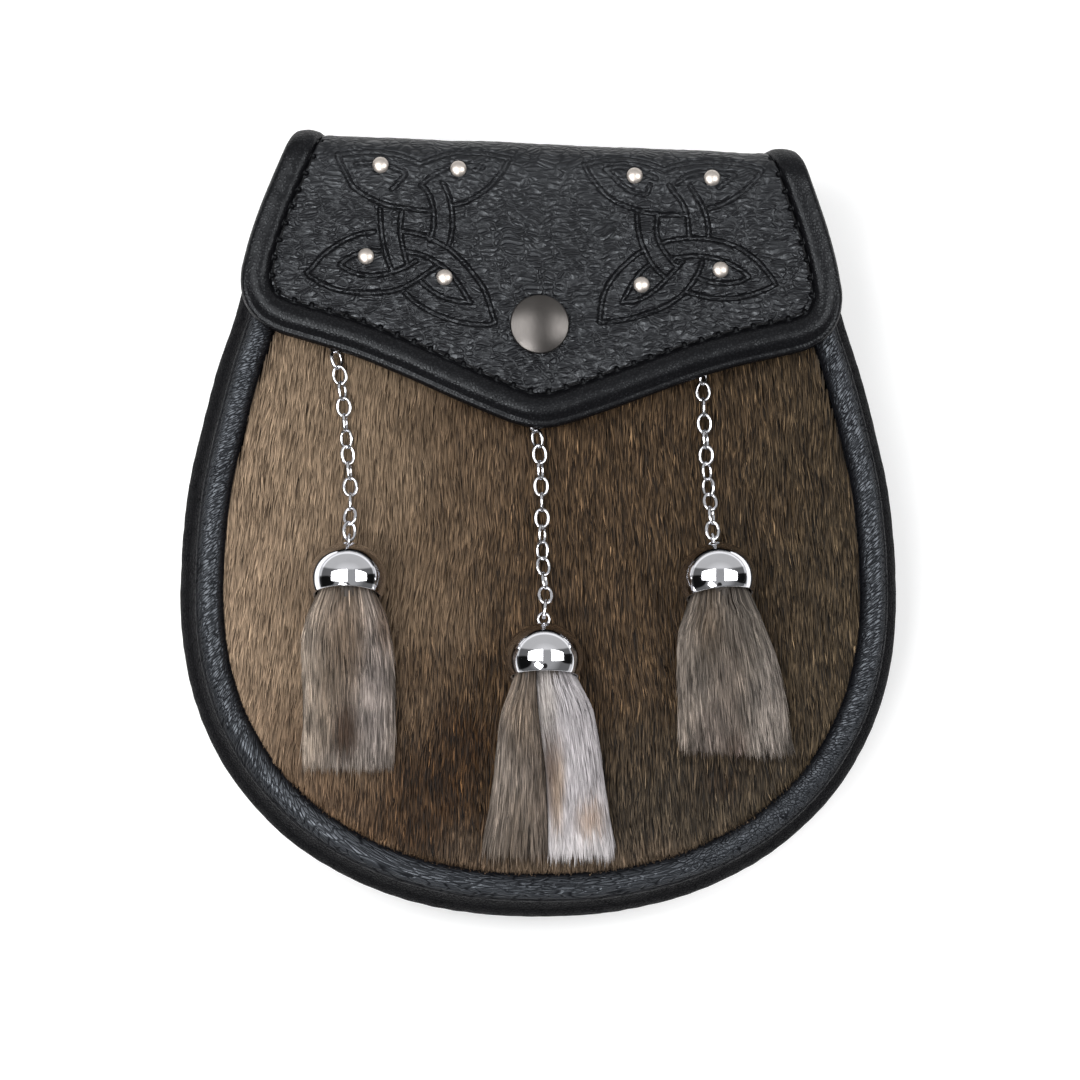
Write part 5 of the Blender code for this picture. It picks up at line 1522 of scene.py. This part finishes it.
studio = {
    "floorTone": 0.98,
    "floorGlow": 0.14,
    "camera": (-0.045, -0.055, 0.96),
    "aim": (-0.0008, -0.0049, 0.040),
    "lens": 115.6,
    "panels": [
        # name, middle, aim, size, power
        ("panelLeft", (-0.36, 0.07, 0.58), (-0.36, 0.07, 0.0), (0.6, 0.34), 3.27),
        ("panelRight", (0.50, 0.07, 0.58), (0.50, 0.07, 0.0), (0.62, 0.34), 3.46),
        ("panelLow", (-0.2, -0.25, 0.62), (0.0, 0.0, 0.04), (0.24, 0.16), 1.85),
    ],
    # surroundings: brightness against height, and how much paler they are beyond the pouch's mouth
    "air": [(0.0, 0.8), (0.07, 0.7), (0.13, 0.14), (0.62, 0.14), (0.9, 0.38)],
    "beyond": (0.4, 0.47, 0.42),
    "darkSpots": [(-0.9, -0.15, 0.3), (0.93, 0.0, 0.22), (0.0, -0.36, 0.14)],  # (across, along, reach)
}


def makeFloor():
    selectNothing()
    bpy.ops.mesh.primitive_plane_add(size=8.0, location=(0.0, 0.0, -0.0004))
    floor = bpy.context.object
    floor.name = "floor"
    tone = studio["floorTone"]
    material, _, shader = newFinish("paleFloor", Roughness=0.9, Specular_IOR_Level=0.2)
    shader.inputs["Base Color"].default_value = (tone, tone, tone, 1.0)
    shader.inputs["Emission Color"].default_value = (1.0, 1.0, 1.0, 1.0)
    shader.inputs["Emission Strength"].default_value = studio["floorGlow"]
    floor.data.materials.append(material)


def makeLights():
    for name, middle, aim, size, power in studio["panels"]:
        light = bpy.data.lights.new(name, "AREA")
        light.shape = "RECTANGLE"
        light.size, light.size_y = size
        light.energy = power
        lamp = bpy.data.objects.new(name, light)
        lamp.location = middle
        lamp.rotation_euler = (Vector(aim) - Vector(middle)).to_track_quat("-Z", "Y").to_euler()
        lamp.visible_camera = False
        scene.collection.objects.link(lamp)


def makeAir():  # what the metal and the leather mirror
    world = bpy.data.worlds.new("studioAir")
    world.use_nodes = True
    tree = world.node_tree
    back = tree.nodes["Background"]
    spot = addNode(tree, "ShaderNodeTexCoord")
    parts = addNode(tree, "ShaderNodeSeparateXYZ", {0: spot.outputs["Generated"]})
    ramp = addNode(tree, "ShaderNodeValToRGB", {"Fac": parts.outputs["Z"]})
    stops = ramp.color_ramp.elements
    for _ in studio["air"][2:]:
        stops.new(0.5)
    for stop, (place, tone) in zip(stops, studio["air"]):
        stop.position = place
        stop.color = (tone * 0.98, tone * 0.99, tone, 1.0)
    near, far, most = studio["beyond"]
    wall = spread(tree, parts.outputs["Y"], near, far, 0.0, most)
    total = calcVectors(tree, "ADD", ramp.outputs["Color"], wall)
    level = addNode(tree, "ShaderNodeCombineXYZ", {0: parts.outputs["X"], 1: parts.outputs["Y"]}).outputs[0]
    for across, along, reach in studio["darkSpots"]:
        away = calcVectors(tree, "DISTANCE", level, (across, along, 0.0), "Value")
        total = calcVectors(tree, "MULTIPLY", total, spread(tree, away, reach * 0.8, reach, 0.05, 1.0))
    tree.links.new(total, back.inputs["Color"])
    back.inputs["Strength"].default_value = 1.0
    scene.world = world


def makeCamera():
    scene.view_settings.view_transform = "Standard"
    lens = bpy.data.cameras.new("photoCamera")
    lens.lens = studio["lens"]
    lens.sensor_width = 36.0
    lens.clip_start, lens.clip_end = 0.01, 20.0
    camera = bpy.data.objects.new("photoCamera", lens)
    camera.location = studio["camera"]
    back = (Vector(studio["camera"]) - Vector(studio["aim"])).normalized()
    across = Vector((0.0, 1.0, 0.0)).cross(back).normalized()  # the pouch's mouth stays at the top
    camera.rotation_euler = Matrix((across, back.cross(across), back)).transposed().to_euler()
    scene.collection.objects.link(camera)
    scene.camera = camera


makeFloor()
makeLights()
makeAir()
makeCamera()
print("sporran: done")
